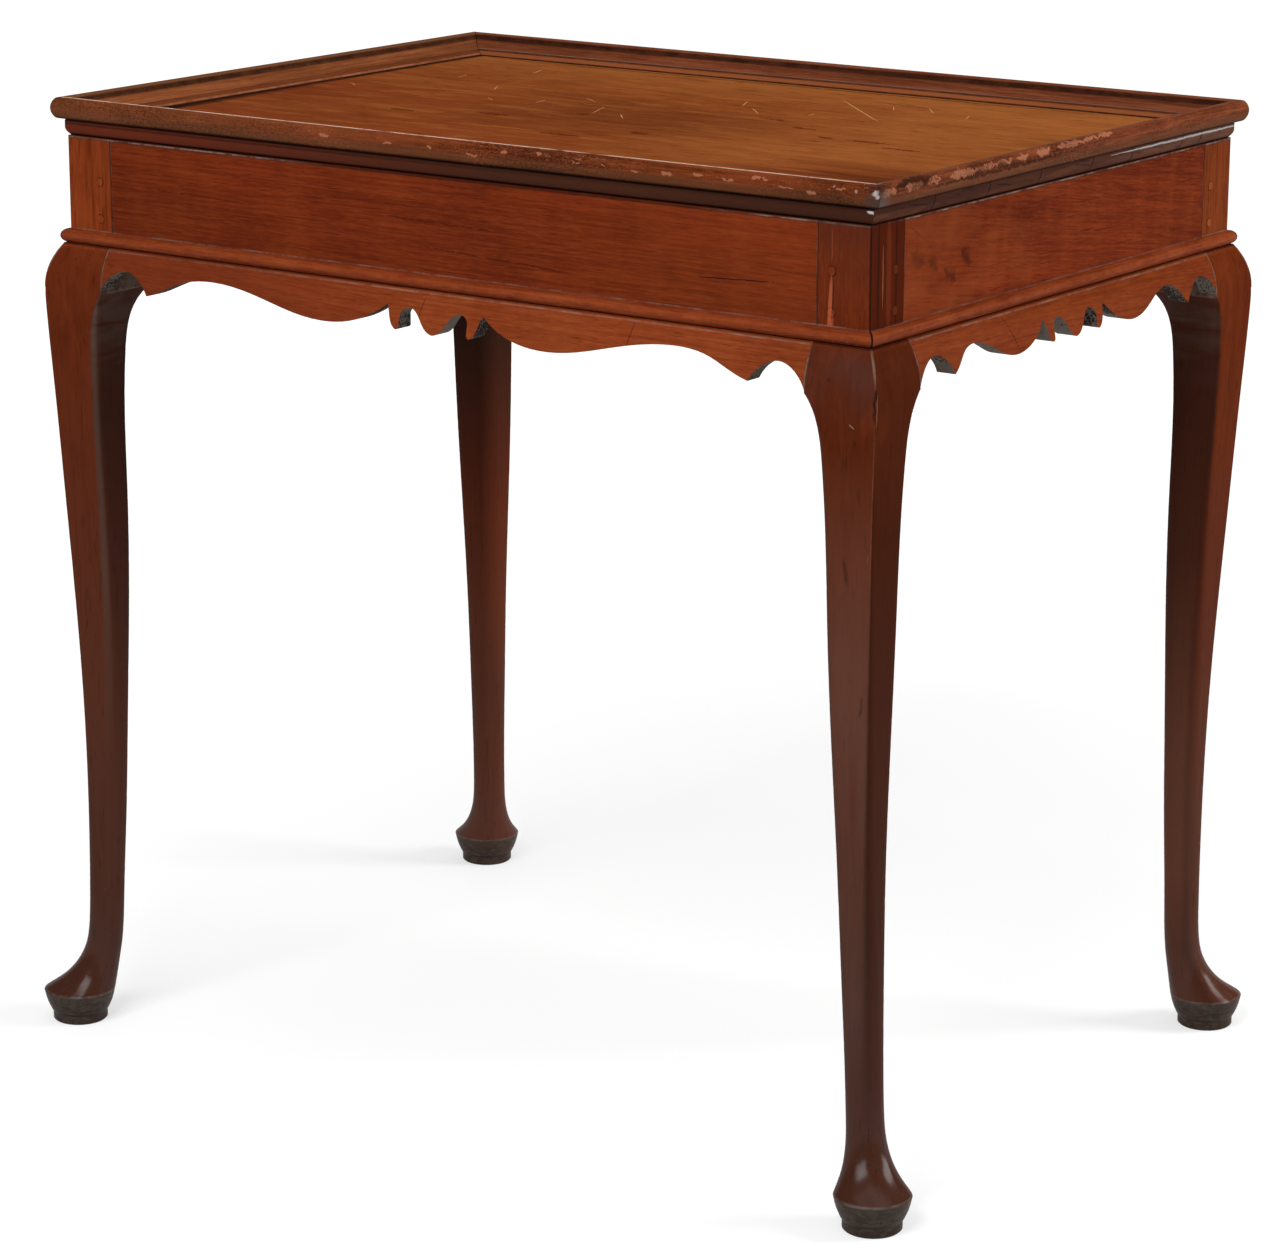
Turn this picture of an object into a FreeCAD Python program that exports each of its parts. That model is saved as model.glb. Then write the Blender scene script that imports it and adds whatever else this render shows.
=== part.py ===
import FreeCAD, Part
import math
import os

# Tray-top tea table: a moulded tray on a pegged frame with four cabriole legs.
# Millimetres.  The origin is on the floor under the middle of the table, +X runs
# along the long side, -Y is the front and +Z is up.

# ---------------------------------------------------------------- driving sizes
table_height = 686.0
tray_length = 686.0           # nose to nose of the rim, along X
tray_width = 490.0            # nose to nose of the rim, along Y

# Tray board and how far each layer stands out past the one below it
board_thickness = 12.0
rim_lip_end = 8.0             # rim past the board at the two ends
rim_lip_front = 6.0           # rim past the board at front and back
board_lip_end = 2.0           # board past the posts at the two ends
board_lip_front = 1.0
board_arris_round = 1.5
board_edge_flat = 1.5         # upright part of the edge between the round and the ovolo
board_edge_undercut = 3.4     # how far the ovolo draws the lower edge in

# Rebate planed round the board's edge, in which the rim sits
rim_seat_depth = 0.5
rim_seat_gap = 0.3            # between the rim and the field of the board inside it

# Rim moulding, measured in from its nose and up from its seat
rim_width = 30.0
rim_height = 15.0
rim_nose_depth = 4.5
rim_nose_round = 3.0          # radius of the nose where it meets the top and the underside
rim_flat_width = 2.2          # flat on top, between the nose and the roll
rim_roll_width = 10.2         # nose, flat and roll, up to the quirk
rim_quirk_drop = 3.2          # quirk below the top of the rim
rim_quirk_width = 1.2
rim_cove_foot_at = 22.0       # from the nose to the foot of the cove
rim_cove_foot_height = 4.5
rim_fillet_height = 1.3       # upright step under the foot of the cove
rim_band_edge = 1.2           # upright edge of the lowest band, at the field of the board

# Posts and rails
post_side = 39.0
frieze_height = 66.0          # board to the top of the bead
rail_thickness = 20.0
rail_drop = 9.5               # rail below the underside of the bead
bead_height = 10.0
bead_projection = 5.5

# Mortise and tenon joints and their pegs
tenon_length = 22.0
tenon_thickness = 9.0
tenon_setback = 6.5           # tenon cheek behind the face of the rail
tenon_top_shoulder = 12.0
tenon_bottom_shoulder = 8.0
mortise_clearance = 0.1
mortise_end_clearance = 0.9
peg_diameter = 6.0
peg_clearance = 0.05
peg_length = 24.0
peg_proud = 0.3
peg_from_shoulder = 10.5
upper_peg_drop = 31.0         # peg centres below the board
lower_peg_drop = 57.0

# Apron: the scalloped board under the bead, let into the rail by a tongue
apron_start = 3.5             # how far its face stands out right under the bead
knee_reach = 14.0             # how far knee and apron stand out at the knee's crest
knee_drop = 31.5              # underside of the bead to the knee's crest
apron_tongue_depth = 5.0
apron_tongue_rise = 8.5

# Scallops: drops are below the underside of the bead, places are from mid rail
lobe_drop = 28.0
centre_arch_at = 20.5
centre_arch_drop = 12.0
pendant_inner_at = 28.4
pendant_tip_at = 31.0
pendant_tip_drop = 27.0
notch_at = 40.2
notch_drop = 11.4
crest_drop = 13.0
cusp_drop = 28.5
cusp_from_seam = 42.5
end_arch_from_seam = 21.5
end_arch_drop = 13.7
seam_drop = 29.5
long_lobe_share = 0.22        # lobe and crest between the notch and the cusp
long_crest_share = 0.73
short_lobe_share = 0.31
short_crest_share = 0.775

# Cabriole leg, measured out from the post's outer faces
ankle_height = 95.0
ankle_diameter = 25.2
ankle_reach = 1.5
pad_rim_height = 23.0
pad_diameter = 52.0
pad_reach = 3.75              # centre of the pad out from the post's outer corner
# Each leg is carved and set by hand, so each foot stands a little off its nominal place.
foot_drift = 10.0             # the most that a foot is off along X or Y
drift_shares = {              # share of that, outwards along X and along Y
    "back_right": (0.40, -0.55),
    "back_left": (-0.60, -0.15),
    "front_left": (1.00, -0.15),
    "front_right": (1.00, -0.50),
}
drift_growth = 1.5            # power by which the drift grows on the way down the leg
cup_fullness = 0.66           # bulge of the cup at mid height, from disc (0) to rim (1)
disc_diameter = 40.0
disc_height = 6.5
disc_arris_round = 1.2

# Glue blocks in the angle of board and rails
block_side = 16.0
block_length = 60.0
block_chamfer = 9.0
long_block_from_middle = 150.0

# ------------------------------------------------------------- levels and spans
rim_seat = table_height - rim_height
board_top = rim_seat + rim_seat_depth
frame_top = board_top - board_thickness
bead_top = frame_top - frieze_height
bead_bottom = bead_top - bead_height
rail_bottom = bead_bottom - rail_drop
knee_crest = bead_bottom - knee_drop

board_length = tray_length - 2 * rim_lip_end
board_width = tray_width - 2 * rim_lip_front
frame_length = board_length - 2 * board_lip_end
frame_width = board_width - 2 * board_lip_front

# Each side of the frame: (turn about Z, length along the side, centre to its face)
sides = {
    "front": (0, frame_length, frame_width / 2),
    "right": (90, frame_width, frame_length / 2),
    "back": (180, frame_length, frame_width / 2),
    "left": (270, frame_width, frame_length / 2),
}
# Each corner: (turn of the leg, which way X and Y point outwards, the side that
# ends there, the side that starts there)
corners = {
    "back_right": (0, 1, 1, "right", "back"),
    "back_left": (90, -1, 1, "back", "left"),
    "front_left": (180, -1, -1, "left", "front"),
    "front_right": (270, 1, -1, "front", "right"),
}


# ---------------------------------------------------------------------- helpers
def vec(x, y, z):
    return FreeCAD.Vector(x, y, z)


def line(start, end):
    return Part.LineSegment(start, end).toShape()


def arc(start, middle, end):
    return Part.Arc(start, middle, end).toShape()


def tangent_arc(start, direction, end):
    """Arc from start to end that leaves start along a unit direction."""
    chord = end - start
    normal = chord - direction * chord.dot(direction)
    normal.normalize()
    radius = chord.dot(chord) / (2 * chord.dot(normal))
    centre = start + normal * radius
    middle = (start + end) * 0.5 - centre
    middle.normalize()
    return arc(start, centre + middle * radius, end)


def spline(points):
    curve = Part.BSplineCurve()
    curve.interpolate(points)
    return curve.toShape()


def face_of(edges):
    return Part.Face(Part.Wire(edges))


def box(x_range, y_range, z_range):
    size = [high - low for low, high in (x_range, y_range, z_range)]
    return Part.makeBox(*size, vec(x_range[0], y_range[0], z_range[0]))


def turned(shape, angle):
    copy = shape.copy()
    copy.rotate(vec(0, 0, 0), vec(0, 0, 1), angle)
    return copy


def moved(shape, x, y, z=0.0):
    copy = shape.copy()
    copy.translate(vec(x, y, z))
    return copy


def mitred_strip(section, length, width):
    """A moulding along X with its nose on y = 0, its ends cut at 45 degrees."""
    strip = moved(section.extrude(vec(length, 0, 0)), -length / 2, 0)
    bounds = strip.BoundBox
    nose_end = length / 2
    heel_end = nose_end - width
    plan = [vec(-nose_end, 0, 0), vec(nose_end, 0, 0), vec(heel_end, width, 0), vec(-heel_end, width, 0)]
    prism = Part.Face(Part.makePolygon(plan + plan[:1])).extrude(vec(0, 0, bounds.ZLength))
    return strip.common(moved(prism, 0, 0, bounds.ZMin))


# ------------------------------------------------------------------------- tray
def board_edge(half_width):
    """Half section of the board across Y: seat of the rim, round arris, short flat and ovolo."""
    round_end = rim_seat - board_arris_round
    flat_end = round_end - board_edge_flat
    lower = half_width - board_edge_undercut
    soften = board_arris_round * (1 - math.sqrt(0.5))
    ovolo_mid = vec(0, half_width - board_edge_undercut * 0.3, frame_top + (flat_end - frame_top) * 0.3)
    return [
        line(vec(0, 0, rim_seat), vec(0, half_width - board_arris_round, rim_seat)),
        arc(vec(0, half_width - board_arris_round, rim_seat),
            vec(0, half_width - soften, rim_seat - soften),
            vec(0, half_width, round_end)),
        line(vec(0, half_width, round_end), vec(0, half_width, flat_end)),
        arc(vec(0, half_width, flat_end), ovolo_mid, vec(0, lower, frame_top)),
        line(vec(0, lower, frame_top), vec(0, 0, frame_top)),
        line(vec(0, 0, frame_top), vec(0, 0, rim_seat)),
    ]


def moulded_slab(length, width):
    """A board along X whose two long edges carry the moulding."""
    half = face_of(board_edge(width / 2)).extrude(vec(length, 0, 0))
    half = moved(half, -length / 2, 0)
    return half.fuse(turned(half, 180))


def tray_board():
    """The board, its field inside the rim left standing above the rim's seat."""
    along = moulded_slab(board_length, board_width)
    across = turned(moulded_slab(board_width, board_length), 90)
    field_x, field_y = [side / 2 - rim_width - rim_seat_gap for side in (tray_length, tray_width)]
    field = box((-field_x, field_x), (-field_y, field_y), (frame_top, board_top))
    return along.common(across).fuse(field).removeSplitter()


def nose_edges(bottom, top):
    """Nose in three arcs that run into each other: small, large, small."""
    half = rim_height / 2
    offset = half - rim_nose_round
    bulge = rim_nose_depth - rim_nose_round
    flank = (rim_nose_depth ** 2 + offset ** 2 - rim_nose_round ** 2) / (2 * bulge)
    middle = vec(0, flank, half)
    joins = []
    for round_centre in (bottom + vec(0, 0, rim_nose_round), top - vec(0, 0, rim_nose_round)):
        outward = round_centre - middle
        outward.normalize()
        joins.append(middle + outward * flank)
    inwards = vec(0, -1, 0)
    return [
        tangent_arc(bottom, inwards, joins[0]),
        arc(joins[0], vec(0, 0, half), joins[1]),
        tangent_arc(top, inwards, joins[1]),
    ]


def rim_section():
    """Rim from its nose (y = 0) inwards: nose, flat, roll, quirk, cove, fillet, band."""
    nose_top = vec(0, rim_nose_depth, rim_height)
    nose_bottom = vec(0, rim_nose_depth, 0)
    roll_start = vec(0, rim_nose_depth + rim_flat_width, rim_height)
    quirk = vec(0, rim_roll_width, rim_height - rim_quirk_drop)
    cove_top = vec(0, rim_roll_width + rim_quirk_width, quirk.z)
    cove_foot = vec(0, rim_cove_foot_at, rim_cove_foot_height)
    band_top = vec(0, rim_cove_foot_at, rim_cove_foot_height - rim_fillet_height)
    band_end = vec(0, rim_width, rim_band_edge)
    inner_bottom = vec(0, rim_width, 0)
    return face_of([
        *nose_edges(nose_bottom, nose_top),
        line(nose_top, roll_start),
        tangent_arc(roll_start, vec(0, 1, 0), quirk),
        line(quirk, cove_top),
        tangent_arc(cove_foot, vec(0, -1, 0), cove_top),
        line(cove_foot, band_top),
        tangent_arc(band_top, vec(0, 1, 0), band_end),
        line(band_end, inner_bottom),
        line(inner_bottom, nose_bottom),
    ])


def rim_moulding(side):
    turn, _, _ = sides[side]
    length, reach = tray_length, tray_width / 2
    if side in ("left", "right"):
        length, reach = tray_width, tray_length / 2
    strip = mitred_strip(rim_section(), length, rim_width)
    return turned(moved(strip, 0, -reach, rim_seat), turn)


# ------------------------------------------------------------------------ frame
def tenon(length, reach, end, clearance=0.0, end_clearance=0.0):
    """Tenon at one end (-1 or 1) of a rail, or its mortise when given clearances."""
    shoulder = length / 2 - post_side
    x_range = sorted((end * shoulder, end * (shoulder + tenon_length + end_clearance)))
    y_low = -reach + tenon_setback
    z_low = rail_bottom + tenon_bottom_shoulder
    z_high = frame_top - tenon_top_shoulder
    return box(x_range, (y_low - clearance, y_low + tenon_thickness + clearance),
               (z_low - clearance, z_high + clearance))


def peg_set(length, reach, end, radius):
    """The two pegs that pin one tenon, driven in from the face of the post."""
    across = end * (length / 2 - post_side + peg_from_shoulder)
    drops = upper_peg_drop, lower_peg_drop
    heads = [vec(across, -reach - peg_proud, frame_top - drop) for drop in drops]
    return [Part.makeCylinder(radius, peg_length, head, vec(0, 1, 0)) for head in heads]


def rail(side):
    """Frieze rail with a tenon at each end and a rebate for the apron's tongue."""
    turn, length, reach = sides[side]
    shoulder = length / 2 - post_side
    body = box((-shoulder, shoulder), (-reach, -reach + rail_thickness), (rail_bottom, frame_top))
    rebate = box((-shoulder, shoulder), (-reach, -reach + apron_tongue_depth),
                 (rail_bottom, bead_bottom + apron_tongue_rise))
    shape = body.cut(rebate)
    for end in (-1, 1):
        shape = shape.fuse(tenon(length, reach, end))
        holes = peg_set(length, reach, end, peg_diameter / 2 + peg_clearance)
        shape = shape.cut(Part.makeCompound(holes))
    return turned(shape.removeSplitter(), turn)


def knee_curve(reach):
    """Outer face of knee and apron: upright at the knee's crest, rounding in to the bead."""
    crest = vec(0, -reach - knee_reach, knee_crest)
    return tangent_arc(crest, vec(0, 0, 1), vec(0, -reach - apron_start, bead_bottom))


def scallop_cutter(length, lobe_share, crest_share):
    """What the saw takes away below the scalloped edge, one half of a rail."""
    seam = length / 2 - post_side
    cusp_at = seam - cusp_from_seam
    lobe_at = notch_at + lobe_share * (cusp_at - notch_at)
    crest_at = notch_at + crest_share * (cusp_at - notch_at)
    bottom = knee_crest - knee_reach

    def at(x, drop):
        return vec(x, 0, bead_bottom - drop)

    def between(start, end, along, down):
        return at(start[0] + along * (end[0] - start[0]), start[1] + down * (end[1] - start[1]))

    centre = (0, lobe_drop)
    centre_arch = (centre_arch_at, centre_arch_drop)
    pendant_top = (pendant_inner_at, centre_arch_drop + 0.4 * (pendant_tip_drop - centre_arch_drop))
    pendant_foot = (pendant_inner_at, pendant_tip_drop - 0.5 * (pendant_tip_at - pendant_inner_at))
    tip = (pendant_tip_at, pendant_tip_drop)
    notch = (notch_at, notch_drop)
    lobe = (lobe_at, lobe_drop)
    crest = (crest_at, crest_drop)
    cusp = (cusp_at, cusp_drop)
    end_arch = (seam - end_arch_from_seam, end_arch_drop)
    seam_end = (seam, seam_drop)
    # The centre lobe starts level, so its spline runs through its own mirror image.
    lobe_flank = (0.37 * centre_arch_at, lobe_drop - 0.26 * (lobe_drop - centre_arch_drop))
    edges = [
        spline([at(*centre), at(*lobe_flank), between(lobe_flank, centre_arch, 0.5, 0.7),
                at(*centre_arch), between(centre_arch, pendant_top, 0.7, 0.3), at(*pendant_top)]),
        line(at(*pendant_top), at(*pendant_foot)),
        spline([at(*pendant_foot), at(*tip), between(tip, notch, 0.3, 0.12),
                between(tip, notch, 0.62, 0.48), at(*notch)]),
        spline([at(*notch), between(notch, lobe, 0.25, 0.45), between(notch, lobe, 0.6, 0.83),
                at(*lobe), between(lobe, crest, 0.28, 0.14), between(lobe, crest, 0.6, 0.65), at(*crest),
                between(crest, cusp, 0.45, 0.22), between(crest, cusp, 0.8, 0.75), at(*cusp)]),
        spline([at(*cusp), between(cusp, end_arch, 0.35, 0.62), at(*end_arch),
                between(end_arch, seam_end, 0.6, 0.3), at(*seam_end)]),
        line(at(*seam_end), vec(seam, 0, bottom)),
        line(vec(seam, 0, bottom), vec(0, 0, bottom)),
        line(vec(0, 0, bottom), at(*centre)),
    ]
    depth = knee_reach + apron_tongue_depth
    half = moved(face_of(edges).extrude(vec(0, 2 * depth, 0)), 0, -depth)
    return half.fuse(turned(half, 180))


def apron(side):
    """Scalloped board that swells out with the knees, tongued into the rail above."""
    turn, length, reach = sides[side]
    seam = length / 2 - post_side
    shares = long_lobe_share, long_crest_share
    if side in ("left", "right"):
        shares = short_lobe_share, short_crest_share
    tongue_top = bead_bottom + apron_tongue_rise
    tongue_back = -reach + apron_tongue_depth
    section = face_of([
        knee_curve(reach),
        line(vec(0, -reach - apron_start, bead_bottom), vec(0, -reach, bead_bottom)),
        line(vec(0, -reach, bead_bottom), vec(0, -reach, tongue_top)),
        line(vec(0, -reach, tongue_top), vec(0, tongue_back, tongue_top)),
        line(vec(0, tongue_back, tongue_top), vec(0, tongue_back, rail_bottom)),
        line(vec(0, tongue_back, rail_bottom), vec(0, -reach, rail_bottom)),
        line(vec(0, -reach, rail_bottom), vec(0, -reach, knee_crest)),
        line(vec(0, -reach, knee_crest), vec(0, -reach - knee_reach, knee_crest)),
    ])
    board = moved(section.extrude(vec(2 * seam, 0, 0)), -seam, 0)
    shape = board.cut(moved(scallop_cutter(length, *shares), 0, -reach))
    return turned(shape.removeSplitter(), turn)


def bead(side):
    """Half-round bead planted over the joint of rail and apron, mitred at the posts."""
    turn, length, reach = sides[side]
    radius = bead_height / 2
    flat = bead_projection - radius
    section = face_of([
        arc(vec(0, radius, 0), vec(0, 0, radius), vec(0, radius, bead_height)),
        line(vec(0, radius, bead_height), vec(0, radius + flat, bead_height)),
        line(vec(0, radius + flat, bead_height), vec(0, radius + flat, 0)),
        line(vec(0, radius + flat, 0), vec(0, radius, 0)),
    ])
    strip = mitred_strip(section, length + 2 * bead_projection, bead_projection)
    return turned(moved(strip, 0, -reach - bead_projection, bead_bottom), turn)


# ------------------------------------------------------------------------- legs
# Shares between the knee's crest (0 down, full reach and girth) and the ankle:
# (way down, reach, girth, roundness of the outer arris, roundness of the flanks)
shank_stations = [
    (0.000, 1.000, 1.000, 0.03, 0.04),
    (0.013, 1.008, 0.889, 0.03, 0.12),
    (0.031, 0.990, 0.790, 0.04, 0.23),
    (0.061, 0.940, 0.680, 0.04, 0.31),
    (0.103, 0.863, 0.600, 0.05, 0.36),
    (0.179, 0.718, 0.497, 0.07, 0.39),
    (0.333, 0.453, 0.393, 0.12, 0.44),
    (0.508, 0.180, 0.267, 0.27, 0.57),
    (0.683, -0.009, 0.122, 0.51, 0.72),
    (0.858, -0.043, 0.044, 0.81, 0.88),
    (1.000, 0.000, 0.000, 0.99, 0.99),
]
# Shares between the ankle and the pad's rim: (way down, shift of the centre, growth)
foot_stations = [
    (0.32, 0.04, 0.00),
    (0.54, 0.14, 0.05),
    (0.71, 0.33, 0.21),
    (0.84, 0.56, 0.46),
    (0.93, 0.79, 0.74),
    (1.00, 1.00, 1.00),
]
foot_roundness = 0.99


def mix(start, end, share):
    return start + share * (end - start)


def leg_section(level, outer, girth, arris_round, flank_round):
    """Square of a given girth, outer corner at (outer, outer), each corner rounded."""
    inner = outer - girth
    arris = arris_round * girth / 2
    flank = flank_round * girth / 2
    heel = 2 * flank - arris
    corner_list = [(outer, outer, 1, 1, arris), (inner, outer, -1, 1, flank),
                   (inner, inner, -1, -1, heel), (outer, inner, 1, -1, flank)]
    arcs = []
    for x, y, out_x, out_y, radius in corner_list:
        inset = radius * (1 - math.sqrt(0.5))
        along_x = vec(x - out_x * radius, y, level)
        along_y = vec(x, y - out_y * radius, level)
        start, end = (along_y, along_x) if out_x == out_y else (along_x, along_y)
        arcs.append((start, vec(x - out_x * inset, y - out_y * inset, level), end))
    edges = []
    for index, (start, middle, end) in enumerate(arcs):
        following = arcs[(index + 1) % len(arcs)][0]
        edges += [arc(start, middle, end), line(end, following)]
    return Part.Wire(edges)


def drifted(shape, drift, level):
    """Shift by the leg's own drift, which grows from nothing at the knee's crest."""
    share = ((knee_crest - level) / knee_crest) ** drift_growth
    return moved(shape, drift[0] * share, drift[1] * share)


def shank_and_foot(drift):
    """The carved leg from the knee's crest to the rim of the pad, in one sweep."""
    knee_girth = post_side + knee_reach
    ankle_centre = ankle_reach - ankle_diameter / 2
    wires = []
    for down, reach, girth, arris_round, flank_round in shank_stations:
        level = mix(knee_crest, ankle_height, down)
        section = leg_section(level, mix(ankle_reach, knee_reach, reach),
                              mix(ankle_diameter, knee_girth, girth), arris_round, flank_round)
        wires.append(drifted(section, drift, level))
    for down, shift, growth in foot_stations:
        level = mix(ankle_height, pad_rim_height, down)
        girth = mix(ankle_diameter, pad_diameter, growth)
        outer = mix(ankle_centre, pad_reach, shift) + girth / 2
        section = leg_section(level, outer, girth, foot_roundness, foot_roundness)
        wires.append(drifted(section, drift, level))
    return Part.makeLoft(wires, True, False)


def pad(drift):
    """Turned underside of the foot: the cup under the rim and the disc on the floor."""
    rim_radius = pad_diameter / 2
    disc_radius = disc_diameter / 2
    cup_drop = pad_rim_height - disc_height
    profile = face_of([
        line(vec(0, 0, pad_rim_height), vec(rim_radius, 0, pad_rim_height)),
        arc(vec(rim_radius, 0, pad_rim_height),
            vec(mix(disc_radius, rim_radius, cup_fullness), 0, disc_height + cup_drop / 2),
            vec(disc_radius, 0, disc_height)),
        line(vec(disc_radius, 0, disc_height), vec(disc_radius, 0, disc_arris_round)),
        line(vec(disc_radius, 0, disc_arris_round), vec(disc_radius - disc_arris_round, 0, 0)),
        line(vec(disc_radius - disc_arris_round, 0, 0), vec(0, 0, 0)),
        line(vec(0, 0, 0), vec(0, 0, pad_rim_height)),
    ])
    turned_pad = moved(profile.revolve(vec(0, 0, 0), vec(0, 0, 1), 360), pad_reach, pad_reach)
    return drifted(turned_pad, drift, pad_rim_height)


def knee():
    """Both outer faces of the knee are sawn to the apron's curve and meet in an arris."""
    section = face_of([
        knee_curve(0),
        line(vec(0, -apron_start, bead_bottom), vec(0, post_side, bead_bottom)),
        line(vec(0, post_side, bead_bottom), vec(0, post_side, knee_crest)),
        line(vec(0, post_side, knee_crest), vec(0, -knee_reach, knee_crest)),
    ])
    swelled = section.extrude(vec(post_side + knee_reach, 0, 0))
    towards_x = moved(turned(swelled, 90), 0, -post_side)
    towards_y = moved(turned(swelled, 180), knee_reach, 0)
    return towards_x.common(towards_y)


def joints_at(corner):
    """The two rail ends that meet at a corner: (side, which end of it)."""
    _, _, _, ending, starting = corners[corner]
    return (ending, 1), (starting, -1)


def leg(corner):
    """Post, knee, shank and foot in one piece, mortised and bored for the pegs."""
    turn, out_x, out_y, _, _ = corners[corner]
    drift_x, drift_y = [foot_drift * share for share in drift_shares[corner]]
    # The leg is shaped as if for the +X +Y corner, where turns of 90 swap X and Y.
    drift = (drift_x, drift_y) if turn % 180 == 0 else (drift_y, drift_x)
    post = box((-post_side, 0), (-post_side, 0), (knee_crest, frame_top))
    blank = post.fuse([knee(), shank_and_foot(drift), pad(drift)]).removeSplitter()
    shape = moved(turned(blank, turn), out_x * frame_length / 2, out_y * frame_width / 2)
    for side, end in joints_at(corner):
        side_turn, length, reach = sides[side]
        holes = peg_set(length, reach, end, peg_diameter / 2 + peg_clearance)
        holes.append(tenon(length, reach, end, mortise_clearance, mortise_end_clearance))
        for hole in holes:
            shape = shape.cut(turned(hole, side_turn))
    return shape


def pegs(corner):
    """The four pegs of one corner, two through each tenon."""
    group = []
    for side, end in joints_at(corner):
        side_turn, length, reach = sides[side]
        group += [turned(peg, side_turn) for peg in peg_set(length, reach, end, peg_diameter / 2)]
    return Part.makeCompound(group)


def glue_block(side, along):
    """Block rubbed into the angle of board and rail, its free corner cut off."""
    turn, _, reach = sides[side]
    inner_face = -reach + rail_thickness
    corners_of_section = [
        vec(0, inner_face, frame_top),
        vec(0, inner_face, frame_top - block_side),
        vec(0, inner_face + block_side - block_chamfer, frame_top - block_side),
        vec(0, inner_face + block_side, frame_top - block_side + block_chamfer),
        vec(0, inner_face + block_side, frame_top),
    ]
    section = Part.Face(Part.makePolygon(corners_of_section + corners_of_section[:1]))
    block = section.extrude(vec(block_length, 0, 0))
    return turned(moved(block, along - block_length / 2, 0), turn)


# --------------------------------------------------------------------- assembly
def build():
    nodes = {"tray_board": tray_board()}
    for side in sides:
        nodes[f"rim_moulding_{side}"] = rim_moulding(side)
        nodes[f"rail_{side}"] = rail(side)
        nodes[f"apron_{side}"] = apron(side)
        nodes[f"bead_{side}"] = bead(side)
    for corner in corners:
        nodes[f"leg_{corner}"] = leg(corner)
        nodes[f"pegs_{corner}"] = pegs(corner)
    for side in ("front", "back"):
        nodes[f"glue_block_{side}_1"] = glue_block(side, -long_block_from_middle)
        nodes[f"glue_block_{side}_2"] = glue_block(side, long_block_from_middle)
    for side in ("left", "right"):
        nodes[f"glue_block_{side}"] = glue_block(side, 0)
    return nodes


os.makedirs("parts", exist_ok=True)
for name, shape in build().items():
    shape.exportStep(f"parts/{name}.step")
    cubic_cm = shape.Volume / 1000
    print(f"{name:22s} solids {len(shape.Solids)}  valid {shape.isValid()}  {cubic_cm:8.1f} cm3")
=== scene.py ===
import math
import random

import bpy
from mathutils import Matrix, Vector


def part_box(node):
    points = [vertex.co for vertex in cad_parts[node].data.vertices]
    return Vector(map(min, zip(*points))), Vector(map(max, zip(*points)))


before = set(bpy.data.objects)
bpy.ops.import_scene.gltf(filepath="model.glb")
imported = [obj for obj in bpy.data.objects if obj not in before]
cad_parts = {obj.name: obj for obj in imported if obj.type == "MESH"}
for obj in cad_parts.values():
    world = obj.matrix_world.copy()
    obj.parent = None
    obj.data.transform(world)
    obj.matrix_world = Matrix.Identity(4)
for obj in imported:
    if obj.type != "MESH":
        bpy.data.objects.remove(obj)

# Looks of a tray-top tea table in old reddish-brown hardwood. Metres, in the frame's
# own axes: the floor is z = 0, +X runs along the long side and -Y is the front.
bpy.ops.object.select_all(action="DESELECT")
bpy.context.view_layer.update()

# ------------------------------------------------------------- places on the table
MM = 0.001
SIDES = ("front", "right", "back", "left")
CORNERS = ("front_left", "front_right", "back_left", "back_right")

board_low, board_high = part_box("tray_board")
rim_low, rim_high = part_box("rim_moulding_front")
bead_low, bead_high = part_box("bead_front")
board_top = board_high.z
rim_seat = rim_low.z
frame_top = board_low.z
bead_top = bead_high.z
bead_bottom = bead_low.z
seam_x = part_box("apron_front")[1].x      # where rails and aprons meet the posts
seam_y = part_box("apron_right")[1].y
face_y = -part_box("rail_front")[0].y      # from the middle to the frieze's outer faces
face_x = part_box("rail_right")[1].x
tray_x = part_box("rim_moulding_right")[1].x
tray_y = -rim_low.y
rim_width = rim_high.y - rim_low.y
field_x = tray_x - rim_width             # the board's field inside the rim
field_y = tray_y - rim_width

# ------------------------------------------------------------------------- colours
MAHOGANY_DARK = (0.055, 0.0080, 0.0026)
MAHOGANY = (0.176, 0.0240, 0.0062)
MAHOGANY_LIGHT = (0.290, 0.0580, 0.0125)
CHERRY_DARK = (0.085, 0.0135, 0.0035)
CHERRY = (0.222, 0.0410, 0.0110)
CHERRY_LIGHT = (0.350, 0.0900, 0.0250)
AMBER_DARK = (0.080, 0.0190, 0.0060)
AMBER = (0.206, 0.0500, 0.0115)
AMBER_LIGHT = (0.310, 0.1050, 0.0260)
RUSSET = (0.145, 0.0270, 0.0080)
WALNUT_DARK = (0.030, 0.0120, 0.0080)
WALNUT = (0.066, 0.0250, 0.0150)
OLIVE_BROWN = (0.105, 0.0420, 0.0170)
RAW_DARK = (0.130, 0.0700, 0.0300)
RAW = (0.260, 0.1500, 0.0700)
RAW_LIGHT = (0.360, 0.2300, 0.1200)
BARE_WOOD = (0.315, 0.1150, 0.0600)
RUBBED_RED = (0.340, 0.0760, 0.0300)
PALE_SCRATCH = (0.560, 0.3000, 0.1200)
PAINTED_TOP_HIGHLIGHT = (0.640, 0.4700, 0.3700)
SOOT_AND_SHADOW = (0.010, 0.0050, 0.0038)
DUST_AND_SHEEN = (0.310, 0.2450, 0.2000)
GREY_BLOOM_AND_SHEEN = (0.170, 0.1400, 0.1250)
SAWN_GREY = (0.120, 0.1080, 0.0920)
EDGE_BROWN_AND_SHADE = (0.040, 0.0120, 0.0062)
PAINTED_GLINT = (0.680, 0.6700, 0.6700)
BOARD_SHADE = (0.090, 0.0210, 0.0070)
END_GRAIN = (0.115, 0.0360, 0.0145)
END_GRAIN_REFLECTION = (0.180, 0.0950, 0.0700)
NOSE_TAN = (0.150, 0.0500, 0.0190)
BAND_RED = (0.250, 0.0720, 0.0230)
NOSE_BROWN = (0.040, 0.0120, 0.0060)
STAIN = (0.034, 0.0065, 0.0026)
APRON_SHADE = (0.100, 0.0150, 0.0058)
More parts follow.
